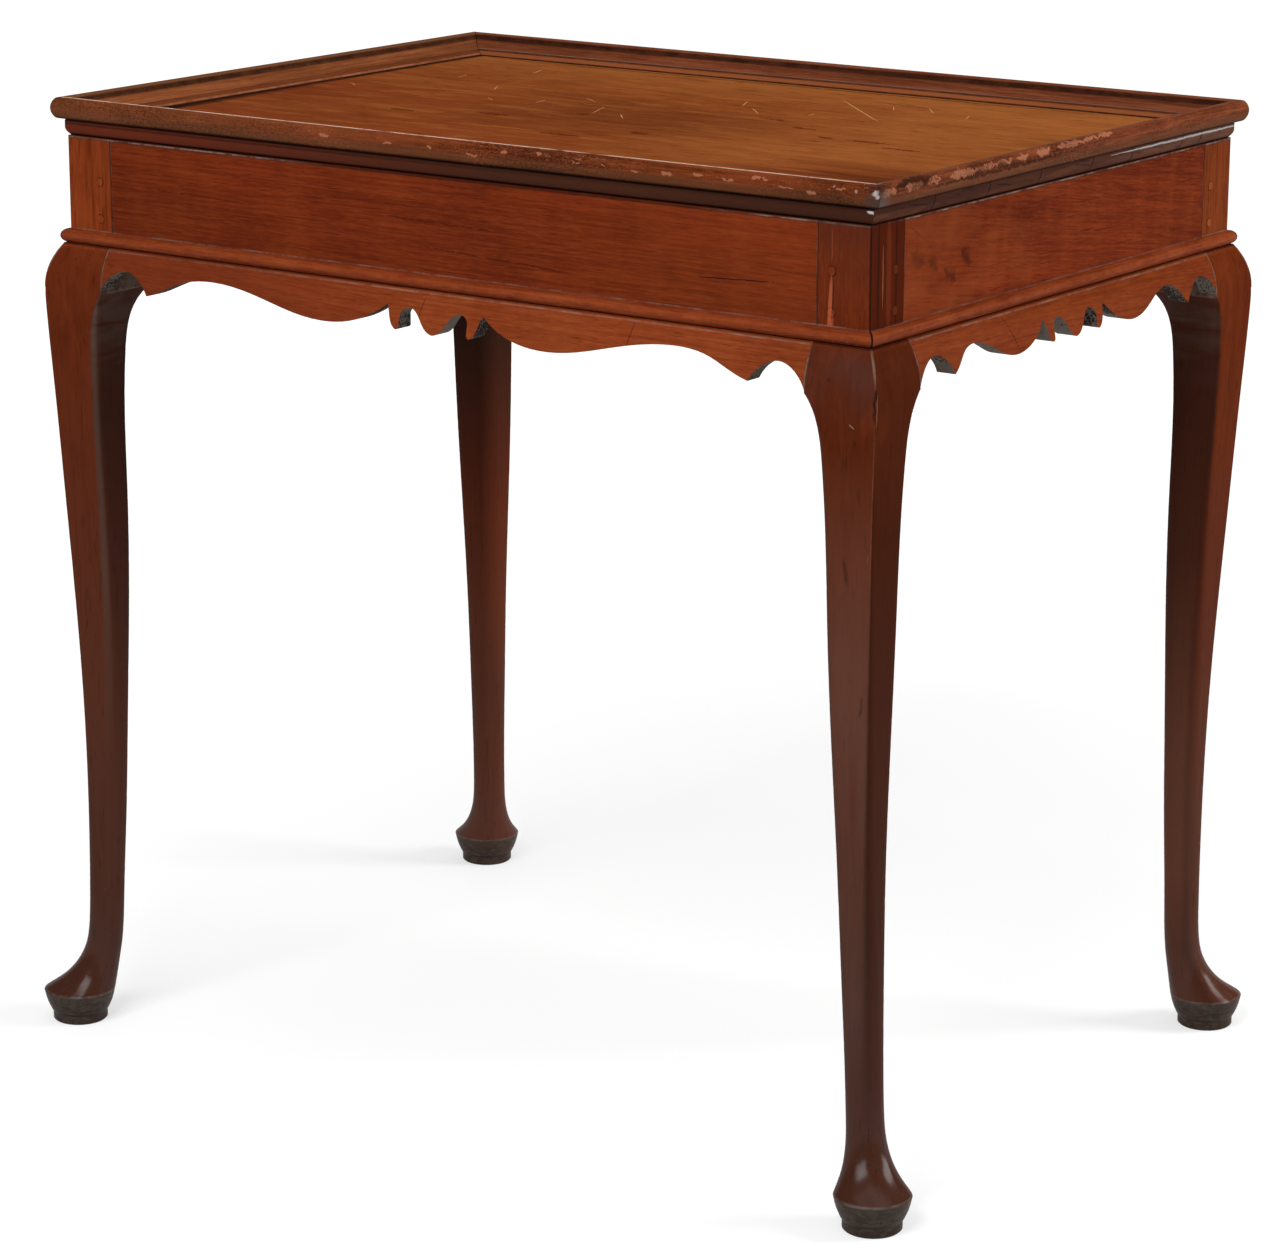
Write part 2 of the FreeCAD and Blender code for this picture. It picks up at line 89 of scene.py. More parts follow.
FRESH_CHIP = (0.50, 0.20, 0.03)
BEAD_WOOD = (0.196, 0.0320, 0.0085)
BEAD_WOOD_RIGHT = (0.165, 0.0275, 0.0070)
BEAD_LIGHT = (0.310, 0.0740, 0.0220)
BEAD_SHEEN = (0.290, 0.0640, 0.0180)
CUP_DARK = (0.022, 0.0160, 0.0110)
CUP_GREY_AND_REFLECTION = (0.120, 0.1020, 0.0800)
THIGH_SHADE = (0.070, 0.0110, 0.0030)
PURPLE_BROWN = (0.070, 0.0170, 0.0090)
LEG_SHADE = (0.040, 0.0090, 0.0030)
KNEE_SHADE = (0.030, 0.0065, 0.0022)
ARRIS_SHADE = (0.020, 0.0100, 0.0040)
KNEE_SHEEN = (0.070, 0.0260, 0.0190)
THIGH_SHEEN = (0.180, 0.0700, 0.0450)
ARRIS_HIGHLIGHT = (0.190, 0.0900, 0.0380)
PEG_SHADE = (0.085, 0.0190, 0.0070)


# Seeds of the marks that wear and use have scattered, one for each kind.
KNOT_SEED = 3
SCRATCH_SEED = 8
CHECK_SEED = 5
FLAKE_SEED = 11
PATCH_SEED = 4
STAIN_SEED = 6
KNEE_SEED = 9


def spread(count, first, last, crowding=1.0):
    """Places from first to last, closer together near last where crowding is below 1."""
    return [first + (last - first) * (step / (count - 1)) ** crowding for step in range(count)]


# ---------------------------------------------------------------- node tree helpers
def add(tree, kind, sockets=None, **settings):
    """A node with its settings made and its inputs linked or set."""
    node = tree.nodes.new(kind)
    for name, value in settings.items():
        setattr(node, name, value)
    for name, value in (sockets or {}).items():
        if isinstance(value, bpy.types.NodeSocket):
            tree.links.new(value, node.inputs[name])
        else:
            node.inputs[name].default_value = value
    return node


def maths(tree, operation, *values, clamp=False):
    sockets = dict(enumerate(values))
    return add(tree, "ShaderNodeMath", sockets, operation=operation, use_clamp=clamp).outputs[0]


def vector_maths(tree, operation, *values):
    return add(tree, "ShaderNodeVectorMath", dict(enumerate(values)), operation=operation)


def ramp(tree, value, start, end, low=0.0, high=1.0):
    """Straight ramp from low at start to high at end, held outside."""
    sockets = {"Value": value, "From Min": start, "From Max": end, "To Min": low, "To Max": high}
    return add(tree, "ShaderNodeMapRange", sockets).outputs["Result"]


def blend_colour(tree, share, under, over):
    sockets = {"Factor": share, 6: rgba(under), 7: rgba(over)}
    return add(tree, "ShaderNodeMix", sockets, data_type="RGBA").outputs[2]


def rgba(colour):
    return colour if isinstance(colour, bpy.types.NodeSocket) or len(colour) == 4 else (*colour, 1.0)


def noise(tree, place, scale, detail=2.0, roughness=0.5, distortion=0.0):
    sockets = {"Vector": place, "Scale": scale, "Detail": detail, "Roughness": roughness,
               "Distortion": distortion}
    return add(tree, "ShaderNodeTexNoise", sockets).outputs["Fac"]


def stretched(tree, place, scale):
    return add(tree, "ShaderNodeMapping", {"Vector": place, "Scale": scale}).outputs["Vector"]


def new_group(name, inputs, outputs):
    """An empty shader group; returns its tree, its input sockets and its output node."""
    tree = bpy.data.node_groups.new(name, "ShaderNodeTree")
    kinds = {"vector": "NodeSocketVector", "value": "NodeSocketFloat", "colour": "NodeSocketColor"}
    for title, kind in inputs.items():
        tree.interface.new_socket(title, in_out="INPUT", socket_type=kinds[kind])
    for title, kind in outputs.items():
        tree.interface.new_socket(title, in_out="OUTPUT", socket_type=kinds[kind])
    return tree, tree.nodes.new("NodeGroupInput").outputs, tree.nodes.new("NodeGroupOutput").inputs


# ------------------------------------------------------------------- shared effects
def make_wood_figure():
    """Colour and relief of planed wood whose fibres run along X of the given place."""
    tree, given, result = new_group(
        "wood_figure",
        {"Place": "vector", "Dark": "colour", "Middle": "colour", "Light": "colour",
         "Cloud": "value", "Figure": "value", "Fibre": "value", "Ripple": "value"},
        {"Color": "colour", "Relief": "value"})
    place = given["Place"]
    cloud = noise(tree, stretched(tree, place, (3.0, 13.0, 13.0)), 1.0, 3.0, 0.55, 0.4)
    drift = noise(tree, stretched(tree, place, (1.3, 16.0, 16.0)), 1.0, 2.0, 0.45, 0.5)
    rings = maths(tree, "PINGPONG", maths(tree, "MULTIPLY", drift, 17.0), 0.5)
    ring_line = ramp(tree, rings, 0.16, 0.0)
    fibre = noise(tree, stretched(tree, place, (16.0, 520.0, 520.0)), 1.0, 3.0, 0.6)
    fleck = noise(tree, stretched(tree, place, (75.0, 1500.0, 1500.0)), 1.0, 1.0)
    pore = ramp(tree, fleck, 0.64, 0.72)
    cloudy = maths(tree, "MULTIPLY", ramp(tree, cloud, 0.30, 0.72), given["Cloud"], clamp=True)
    body = blend_colour(tree, cloudy, given["Middle"], given["Dark"])
    streak = maths(tree, "MULTIPLY", ramp(tree, fibre, 0.45, 0.80), given["Fibre"], clamp=True)
    body = blend_colour(tree, streak, body, given["Light"])
    shade = maths(tree, "MULTIPLY", ramp(tree, fibre, 0.48, 0.22), given["Fibre"], clamp=True)
    body = blend_colour(tree, shade, body, given["Dark"])
    lined = maths(tree, "MULTIPLY", ring_line, given["Figure"], clamp=True)
    body = blend_colour(tree, lined, body, given["Dark"])
    # Where the fibres wave, bars of light and shade lie across them.
    wave = noise(tree, stretched(tree, place, (34.0, 6.0, 6.0)), 1.0, 2.0, 0.5, 0.3)
    light_bar = maths(tree, "MULTIPLY", ramp(tree, wave, 0.50, 0.72), given["Ripple"], clamp=True)
    body = blend_colour(tree, light_bar, body, given["Light"])
    dark_bar = maths(tree, "MULTIPLY", ramp(tree, wave, 0.50, 0.28), given["Ripple"], clamp=True)
    body = blend_colour(tree, dark_bar, body, given["Dark"])
    pored = maths(tree, "MULTIPLY", pore, 0.60)
    body = blend_colour(tree, pored, body, given["Dark"])
    mottle = noise(tree, stretched(tree, place, (110.0, 800.0, 800.0)), 1.0, 2.0, 0.6)
    body = blend_colour(tree, ramp(tree, mottle, 0.50, 0.80, 0.0, 0.24), body, given["Light"])
    body = blend_colour(tree, ramp(tree, mottle, 0.50, 0.20, 0.0, 0.28), body, given["Dark"])
    tree.links.new(body, result["Color"])
    relief = maths(tree, "SUBTRACT", maths(tree, "MULTIPLY", fibre, 0.5), pore)
    tree.links.new(relief, result["Relief"])
    return tree


def make_stroke():
    """Mask of a straight scratch, crack or smear between two points."""
    tree, given, result = new_group(
        "stroke",
        {"Place": "vector", "Start": "vector", "End": "vector", "Width": "value", "Wander": "value",
         "Core": "value"},
        {"Mask": "value"})
    wobble = noise(tree, given["Place"], 140.0, 2.0)
    shift = maths(tree, "MULTIPLY", maths(tree, "SUBTRACT", wobble, 0.5), given["Wander"])
    place = vector_maths(tree, "ADD", given["Place"], shift).outputs[0]
    run = vector_maths(tree, "SUBTRACT", given["End"], given["Start"]).outputs[0]
    gone = vector_maths(tree, "SUBTRACT", place, given["Start"]).outputs[0]
    length = vector_maths(tree, "DOT_PRODUCT", run, run).outputs["Value"]
    covered = vector_maths(tree, "DOT_PRODUCT", gone, run).outputs["Value"]
    along = maths(tree, "DIVIDE", covered, length, clamp=True)
    nearest = vector_maths(tree, "SCALE", run)
    tree.links.new(along, nearest.inputs["Scale"])
    apart = vector_maths(tree, "DISTANCE", gone, nearest.outputs[0]).outputs["Value"]
    taper = maths(tree, "MULTIPLY", maths(tree, "PINGPONG", along, 0.5), 4.0, clamp=True)
    half = maths(tree, "MULTIPLY", given["Width"], maths(tree, "MULTIPLY_ADD", taper, 0.4, 0.1))
    edge = maths(tree, "DIVIDE", apart, half)
    tree.links.new(ramp(tree, edge, 1.0, given["Core"]), result["Mask"])
    return tree


def make_speckle():
    """Mask of chips and specks, in drifts, where the finish is rubbed through."""
    tree, given, result = new_group(
        "speckle", {"Place": "vector", "Size": "value", "Amount": "value"}, {"Mask": "value"})
    fine = noise(tree, given["Place"], maths(tree, "DIVIDE", 1.0, given["Size"]), 3.0, 0.65, 0.6)
    drifts = noise(tree, given["Place"], 22.0, 2.0)
    share = maths(tree, "MULTIPLY", ramp(tree, drifts, 0.35, 0.68, 0.25, 1.0), given["Amount"])
    threshold = maths(tree, "SUBTRACT", 0.78, maths(tree, "MULTIPLY", share, 0.38))
    over = maths(tree, "SUBTRACT", fine, threshold)
    tree.links.new(ramp(tree, over, 0.0, 0.03), result["Mask"])
    return tree


def make_band():
    """Mask of a thin line where a value is near a level, broken up as dust is."""
    tree, given, result = new_group(
        "band",
        {"Place": "vector", "Value": "value", "Level": "value", "Width": "value", "Broken": "value"},
        {"Mask": "value"})
    apart = maths(tree, "ABSOLUTE", maths(tree, "SUBTRACT", given["Value"], given["Level"]))
    line = ramp(tree, maths(tree, "DIVIDE", apart, given["Width"]), 0.6, 0.35)
    gaps = noise(tree, given["Place"], 75.0, 5.0, 0.7)
    missing = maths(tree, "MULTIPLY", ramp(tree, gaps, 0.60, 0.42), given["Broken"])
    kept = maths(tree, "SUBTRACT", 1.0, missing)
    tree.links.new(maths(tree, "MULTIPLY", line, kept, clamp=True), result["Mask"])
    return tree


def make_ring():
    """Mask of the joint round a peg, a thin circle about a line through its middle."""
    tree, given, result = new_group(
        "ring", {"Along": "value", "Up": "value", "Radius": "value", "Width": "value"}, {"Mask": "value"})
    squares = [maths(tree, "MULTIPLY", given[name], given[name]) for name in ("Along", "Up")]
    distance = maths(tree, "SQRT", maths(tree, "ADD", *squares))
    apart = maths(tree, "ABSOLUTE", maths(tree, "SUBTRACT", distance, given["Radius"]))
    tree.links.new(ramp(tree, maths(tree, "DIVIDE", apart, given["Width"]), 0.6, 0.3), result["Mask"])
    return tree


def make_edge_wear():
    """Mask of sharp edges, where hands and cloths have rubbed, broken up along them."""
    tree, given, result = new_group(
        "edge_wear", {"Place": "vector", "Radius": "value", "Amount": "value"}, {"Mask": "value"})
    rounded = add(tree, "ShaderNodeBevel", {"Radius": given["Radius"]}, samples=4).outputs["Normal"]
    true = add(tree, "ShaderNodeNewGeometry").outputs["Normal"]
    agree = vector_maths(tree, "DOT_PRODUCT", rounded, true).outputs["Value"]
    edge = ramp(tree, agree, 0.985, 0.90)
    patches = ramp(tree, noise(tree, given["Place"], 60.0, 4.0, 0.7), 0.40, 0.62)
    share = maths(tree, "MULTIPLY", edge, patches)
    tree.links.new(maths(tree, "MULTIPLY", share, given["Amount"], clamp=True), result["Mask"])
    return tree


WOOD_FIGURE = make_wood_figure()
STROKE = make_stroke()
SPECKLE = make_speckle()
BAND = make_band()
RING = make_ring()
EDGE_WEAR = make_edge_wear()


# ------------------------------------------------------------------------- finishes
FIBRE_DEPTH_MM = 0.02            # relief of the fibres in planed wood
RUBBED_ROUGHNESS = 0.6           # where the finish is gone
SAWN_ROUGHNESS = 0.8


class Finish:
    """A wood finish built up in layers, as colour, roughness, varnish and relief."""

    GRAIN_TURNS = {"X": (0, 0, 0), "Y": (0, 0, math.pi / 2), "Z": (0, math.pi / 2, 0)}

    def __init__(self, name, grain, tones, cloud=0.8, figure=0.35, fibre=0.5, ripple=0.1,
                 roughness=0.42, offset=(0, 0, 0), slant=0.0):
        self.material = bpy.data.materials.new(name)
        self.material.use_nodes = True
        self.tree = self.material.node_tree
        self.shader = self.tree.nodes["Principled BSDF"]
        self.place = add(self.tree, "ShaderNodeTexCoord").outputs["Object"]
        self.x, self.y, self.z = add(self.tree, "ShaderNodeSeparateXYZ", {0: self.place}).outputs
        turn_x, turn_y, turn_z = self.GRAIN_TURNS[grain]
        along = add(self.tree, "ShaderNodeMapping",
                    {"Vector": self.place, "Location": offset, "Rotation": (turn_x + slant, turn_y, turn_z)})
        dark, middle, light = tones
        wood = self.group(WOOD_FIGURE, Place=along.outputs["Vector"], Dark=rgba(dark), Middle=rgba(middle),
                          Light=rgba(light), Cloud=cloud, Figure=figure, Fibre=fibre, Ripple=ripple)
        self.colour = wood["Color"]
        self.relief = maths(self.tree, "MULTIPLY", wood["Relief"], FIBRE_DEPTH_MM)
        haze = noise(self.tree, self.place, 30.0, 2.0)
        self.roughness = ramp(self.tree, haze, 0.3, 0.7, roughness - 0.06, roughness + 0.06)

    def group(self, tree, **sockets):
        node = self.tree.nodes.new("ShaderNodeGroup")
        node.node_tree = tree
        for name, value in sockets.items():
            if isinstance(value, bpy.types.NodeSocket):
                self.tree.links.new(value, node.inputs[name])
            else:
                node.inputs[name].default_value = value
        return node.outputs

    def tint(self, mask, colour, strength=1.0):
        share = maths(self.tree, "MULTIPLY", mask, strength, clamp=True)
        self.colour = blend_colour(self.tree, share, self.colour, colour)

    def matt(self, mask, roughness):
        lift = maths(self.tree, "SUBTRACT", roughness, self.roughness)
        self.roughness = maths(self.tree, "MULTIPLY_ADD", mask, lift, self.roughness)

    def sink(self, mask, depth_mm):
        self.relief = maths(self.tree, "MULTIPLY_ADD", mask, -depth_mm, self.relief)

    def stroke(self, start, end, width, colour, strength=1.0, wander=0.6 * MM, depth_mm=0.0, core=0.55,
               through=(1, 1, 1), ragged=0.0, within=None):
        """A line between two points, drawn through the wood along any axis given as 0."""
        place = stretched(self.tree, self.place, through)
        start = tuple(a * b for a, b in zip(start, through))
        end = tuple(a * b for a, b in zip(end, through))
        mask = self.group(STROKE, Place=place, Start=start, End=end, Width=width, Wander=wander,
                          Core=core)["Mask"]
        if ragged:
            crumbs = self.less(noise(self.tree, self.place, 420.0, 4.0, 0.7), 0.5)
            broken = ramp(self.tree, maths(self.tree, "MULTIPLY_ADD", crumbs, ragged, mask), 0.42, 0.50)
            mask = self.both(broken, ramp(self.tree, mask, 0.0, 0.05))
        mask = self.limited(mask, within)
        self.tint(mask, colour, strength)
        if depth_mm:
            self.sink(mask, depth_mm)

    def front_mark(self, start, end, *look, **more):
        """A stroke from one (x, z) to another, on whatever lies behind it along Y."""
        self.stroke((start[0], 0, start[1]), (end[0], 0, end[1]), *look, through=(1, 0, 1), **more)

    def side_mark(self, start, end, *look, **more):
        """A stroke from one (y, z) to another, on whatever lies behind it along X."""
        self.stroke((0, *start), (0, *end), *look, through=(0, 1, 1), **more)

    def speckle(self, size, amount, colour, strength=1.0, within=None, depth_mm=0.0, squeeze=(1, 1, 1)):
        place = stretched(self.tree, self.place, squeeze)
        mask = self.group(SPECKLE, Place=place, Size=size, Amount=amount)["Mask"]
        mask = self.limited(mask, within)
        self.tint(mask, colour, strength)
        self.matt(mask, RUBBED_ROUGHNESS)
        if depth_mm:
            self.sink(mask, depth_mm)

    def band(self, value, level, width, colour, strength=1.0, broken=0.7, within=None):
        mask = self.group(BAND, Place=self.place, Value=value, Level=level, Width=width,
                          Broken=broken)["Mask"]
        self.tint(self.limited(mask, within), colour, strength)

    def ring(self, along, up, colour, strength=1.0, within=None):
        mask = self.group(RING, Along=along, Up=up, Radius=PEG_RADIUS, Width=0.9 * MM)["Mask"]
        self.tint(self.limited(mask, within), colour, strength)

    def wear_edges(self, radius, amount, colour, strength=1.0, within=None):
        mask = self.group(EDGE_WEAR, Place=self.place, Radius=radius, Amount=amount)["Mask"]
        self.tint(self.limited(mask, within), colour, strength)

    def cloud(self, scale, start, end):
        """Soft patches: 0 where the noise is below start, 1 above end."""
        return ramp(self.tree, noise(self.tree, stretched(self.tree, self.place, scale), 1.0, 3.0, 0.55, 0.4),
                    start, end)

    def region(self, value, start, end):
        """Soft step from 0 at start to 1 at end."""
        return ramp(self.tree, value, start, end)

    def both(self, mask, *others):
        """Where every one of the masks holds."""
        for other in others:
            mask = maths(self.tree, "MULTIPLY", mask, other)
        return mask

    def limited(self, mask, within):
        return mask if within is None else self.both(mask, within)

    def between(self, value, start, full, fade, end):
        """0 up to start, 1 from full to fade, 0 from end on, soft in between."""
        return self.both(self.region(value, start, full), self.region(value, end, fade))

    def less(self, value, amount):
        return maths(self.tree, "SUBTRACT", value, amount)

    def away(self, value):
        return maths(self.tree, "ABSOLUTE", value)

    def slope(self, axis, sign=1):
        """The part of the surface's direction that lies along an axis."""
        normal = add(self.tree, "ShaderNodeNewGeometry").outputs["Normal"]
        part = add(self.tree, "ShaderNodeSeparateXYZ", {0: normal}).outputs["XYZ".index(axis)]
        return maths(self.tree, "MULTIPLY", part, sign)

    def towards(self, axis, sign):
        """1 where the surface faces along an axis in the given direction, else 0."""
        return self.region(self.slope(axis, sign), 0.35, 0.65)

    def facing(self, axis):
        """How squarely the surface faces along an axis, either way."""
        return self.away(self.slope(axis))

    def done(self, specular=0.0, soft_edge=0.5 * MM, varnish=0.0, haze=0.28):
        link = self.tree.links.new
        rounded = add(self.tree, "ShaderNodeBevel", {"Radius": soft_edge}, samples=4).outputs["Normal"]
        bump = add(self.tree, "ShaderNodeBump",
                   {"Height": self.relief, "Distance": MM, "Strength": 1.0, "Normal": rounded})
        link(self.colour, self.shader.inputs["Base Color"])
        link(self.roughness, self.shader.inputs["Roughness"])
        link(bump.outputs["Normal"], self.shader.inputs["Normal"])
        self.shader.inputs["Specular IOR Level"].default_value = specular
        self.shader.inputs["Coat Roughness"].default_value = haze
        if isinstance(varnish, bpy.types.NodeSocket):
            link(varnish, self.shader.inputs["Coat Weight"])
        else:
            self.shader.inputs["Coat Weight"].default_value = varnish
        return self.material


def board_finish():
    """Golden board, grain lengthways, stained and scratched, its moulded edge dark, partly as painted shade
    under the rim.
    """
    wood = Finish("board_wood", "X", (AMBER_DARK, AMBER, AMBER_LIGHT), cloud=0.35, figure=0.30, fibre=0.45,
                  ripple=0.08, roughness=0.50)
    top = board_top
    # Red shows through towards the front and the left; along the back and the right the gold is lightened,
    # partly as painted light.
    red = wood.cloud((2.4, 7.0, 2.0), 0.36, 0.66)
    front_half = wood.region(wood.y, 0.14, -0.12)
    wood.tint(wood.both(red, front_half), RUSSET, 0.75)
    wood.tint(wood.both(wood.region(wood.x, -0.05, -0.25), red), RUSSET, 0.65)
    wood.tint(wood.both(wood.region(wood.x, 0.05, -0.10), wood.region(wood.y, 0.02, -0.10)), RUSSET, 0.40)
    middle = wood.both(wood.between(wood.x, -0.16, -0.06, 0.04, 0.12),
                       wood.between(wood.y, -0.10, -0.04, 0.03, 0.08))
    wood.tint(middle, BOARD_SHADE, 0.50)
    gold_and_painted_light = wood.both(wood.region(wood.less(wood.y, wood.x), 0.10, -0.02), wood.region(wood.x, 0.02, 0.16))
    wood.tint(gold_and_painted_light, AMBER_LIGHT, 0.34)
    wood.tint(wood.region(wood.y, 0.10, 0.21), AMBER_LIGHT, 0.50)
    # Broad streaks, then fine ones, dark and light.
    wood.tint(wood.cloud((7.0, 15.0, 3.0), 0.46, 0.70), AMBER_DARK, 0.26)
    wood.tint(wood.cloud((12.0, 44.0, 3.0), 0.50, 0.74), AMBER_DARK, 0.26)
    wood.tint(wood.cloud((20.0, 110.0, 3.0), 0.50, 0.74), AMBER_DARK, 0.24)
    wood.tint(wood.cloud((18.0, 90.0, 3.6), 0.50, 0.74), AMBER_LIGHT, 0.36)
    wood.tint(wood.cloud((42.0, 330.0, 3.0), 0.60, 0.68), MAHOGANY_DARK, 0.55)
    near_corner = wood.both(wood.region(wood.x, 0.14, 0.24), wood.region(wood.y, -0.085, -0.135))
    wood.tint(near_corner, RUSSET, 0.55)
    wood.tint(wood.both(near_corner, wood.cloud((8.0, 60.0, 8.0), 0.34, 0.56)), AMBER_DARK, 0.90)
    chance = random.Random(KNOT_SEED)
    for x in spread(10, -0.17, 0.22, 0.8):
        y = chance.uniform(-0.10, 0.05)
        half = chance.uniform(7, 22) * MM
        wood.stroke((x - half, y, top), (x + half, y - 2 * MM, top), 13 * MM, MAHOGANY_DARK, 0.66, 10 * MM,
                    core=-0.3, ragged=0.8)
    # Long shrinkage crack along the back, then scratches.
    crack_y = field_y - 7 * MM
    wood.stroke((-0.300, crack_y, top), (0.262, crack_y - 2 * MM, top), 3.0 * MM, SOOT_AND_SHADOW, 0.8, 2.0 * MM, 0.3)
    wood.stroke((0.075, 0.172, top), (0.140, 0.160, top), 2.2 * MM, MAHOGANY_DARK, 0.8, 2.0 * MM, 0.3)
    wood.stroke((0.05, 0.17, top), (0.14, 0.08, top), 1.0 * MM, PALE_SCRATCH, 0.75, 1.5 * MM, 0.05)
    chance = random.Random(SCRATCH_SEED)
    for x in spread(15, -0.28, 0.18):
        y = chance.uniform(-0.02, 0.15)
        slant = chance.uniform(1.7, 2.6)
        length = chance.uniform(12, 36) * MM
        end = (x + length * math.cos(slant), y + length * math.sin(slant), top)
        wood.stroke((x, y, top), end, 0.9 * MM, PALE_SCRATCH, 0.75, 1.5 * MM, 0.05)
    wood.speckle(1.2 * MM, 0.16, PALE_SCRATCH, 0.45, squeeze=(0.4, 1, 1))
    # Painted shadow in dark lines along the foot of the rim, widest at the left end.
    for value, level, width in ((wood.y, field_y, 5), (wood.y, -field_y, 4), (wood.x, field_x, 4),
                                (wood.x, -field_x, 9)):
        wood.band(value, level, width * MM, SOOT_AND_SHADOW, 0.85, 0.25)
    wood.band(wood.x, -field_x, 22 * MM, SOOT_AND_SHADOW, 0.90, 0.0, wood.region(wood.y, 0.06, -0.16))
    # The moulded edge below the rim, darkened all over, partly as painted shade under the rim's nose: reddish
    # at the left, darker and greyer to the right.
    edge = wood.region(wood.z, rim_seat + 0.2 * MM, rim_seat)
    wood.tint(edge, EDGE_BROWN_AND_SHADE, 0.94)
    wood.tint(wood.both(edge, wood.region(wood.x, 0.05, -0.28)), MAHOGANY, 0.45)
    end_grain = wood.both(edge, wood.facing("X"))
    wood.tint(wood.both(end_grain, wood.cloud((30.0, 12.0, 160.0), 0.40, 0.66)), END_GRAIN, 0.62)
    # Painted reflection: a pale grey wash over the end grain towards the back.
    wood.tint(wood.both(end_grain, wood.region(wood.y, 0.00, 0.22)), END_GRAIN_REFLECTION, 0.24)
    wood.tint(wood.both(end_grain, wood.cloud((60.0, 60.0, 420.0), 0.54, 0.66)), SOOT_AND_SHADOW, 0.55)
    edge_crest = rim_seat - 3.2 * MM
    wood.band(wood.z, edge_crest, 1.4 * MM, SOOT_AND_SHADOW, 0.65, 0.3, wood.region(wood.x, 0.15, -0.10))
    chance = random.Random(CHECK_SEED)
    for step in spread(7, -0.17, 0.21):
        y = step + chance.uniform(-20, 20) * MM
        wood.side_mark((y, rim_seat), (y - 5 * MM, frame_top), 1.6 * MM, SOOT_AND_SHADOW, 0.95, 2.0 * MM, 0.5)
    for y in spread(4, -0.20, 0.11):
        wood.side_mark((y, rim_seat - 3 * MM), (y + 30 * MM, rim_seat - 7 * MM), 1.2 * MM, SOOT_AND_SHADOW, 0.6,
                       2.0 * MM)
    wood.band(wood.z, frame_top + 0.3 * MM, 2.0 * MM, SOOT_AND_SHADOW, 0.80, 0.1, edge)
    # Painted shadow: a dark line along the top of the edge, under the rim's nose.
    wood.band(wood.z, rim_seat - 0.4 * MM, 2.2 * MM, SOOT_AND_SHADOW, 0.85, 0.1, edge)
    # Painted highlights on its crest: at the near corner, and along the right side towards the back.
    wood.front_mark((tray_x - 13.0 * MM, edge_crest + 0.6 * MM), (tray_x - 6.2 * MM, edge_crest - 0.2 * MM),
                    2.4 * MM, PAINTED_GLINT, 0.80, 1.0 * MM, core=0.2, within=wood.towards("Y", -1))
    wood.side_mark((0.060, edge_crest), (0.270, edge_crest), 2.0 * MM, PAINTED_GLINT, 0.50, 1.0 * MM, core=0.2,
                   within=wood.towards("X", 1))
    wood.matt(edge, 0.35)
    return wood.done(varnish=wood.both(edge, 0.08))


RIM_TONES = {
    "front": ((0.032, 0.0080, 0.0030), (0.140, 0.0280, 0.0074), (0.240, 0.0660, 0.0190)),
    "right": ((0.034, 0.0095, 0.0045), (0.135, 0.0330, 0.0120), (0.260, 0.0760, 0.0300)),
    "back": ((0.050, 0.0130, 0.0055), (0.150, 0.0380, 0.0150), (0.240, 0.0780, 0.0340)),
    "left": ((0.070, 0.0190, 0.0070), (0.185, 0.0540, 0.0190), (0.260, 0.0900, 0.0320)),
}


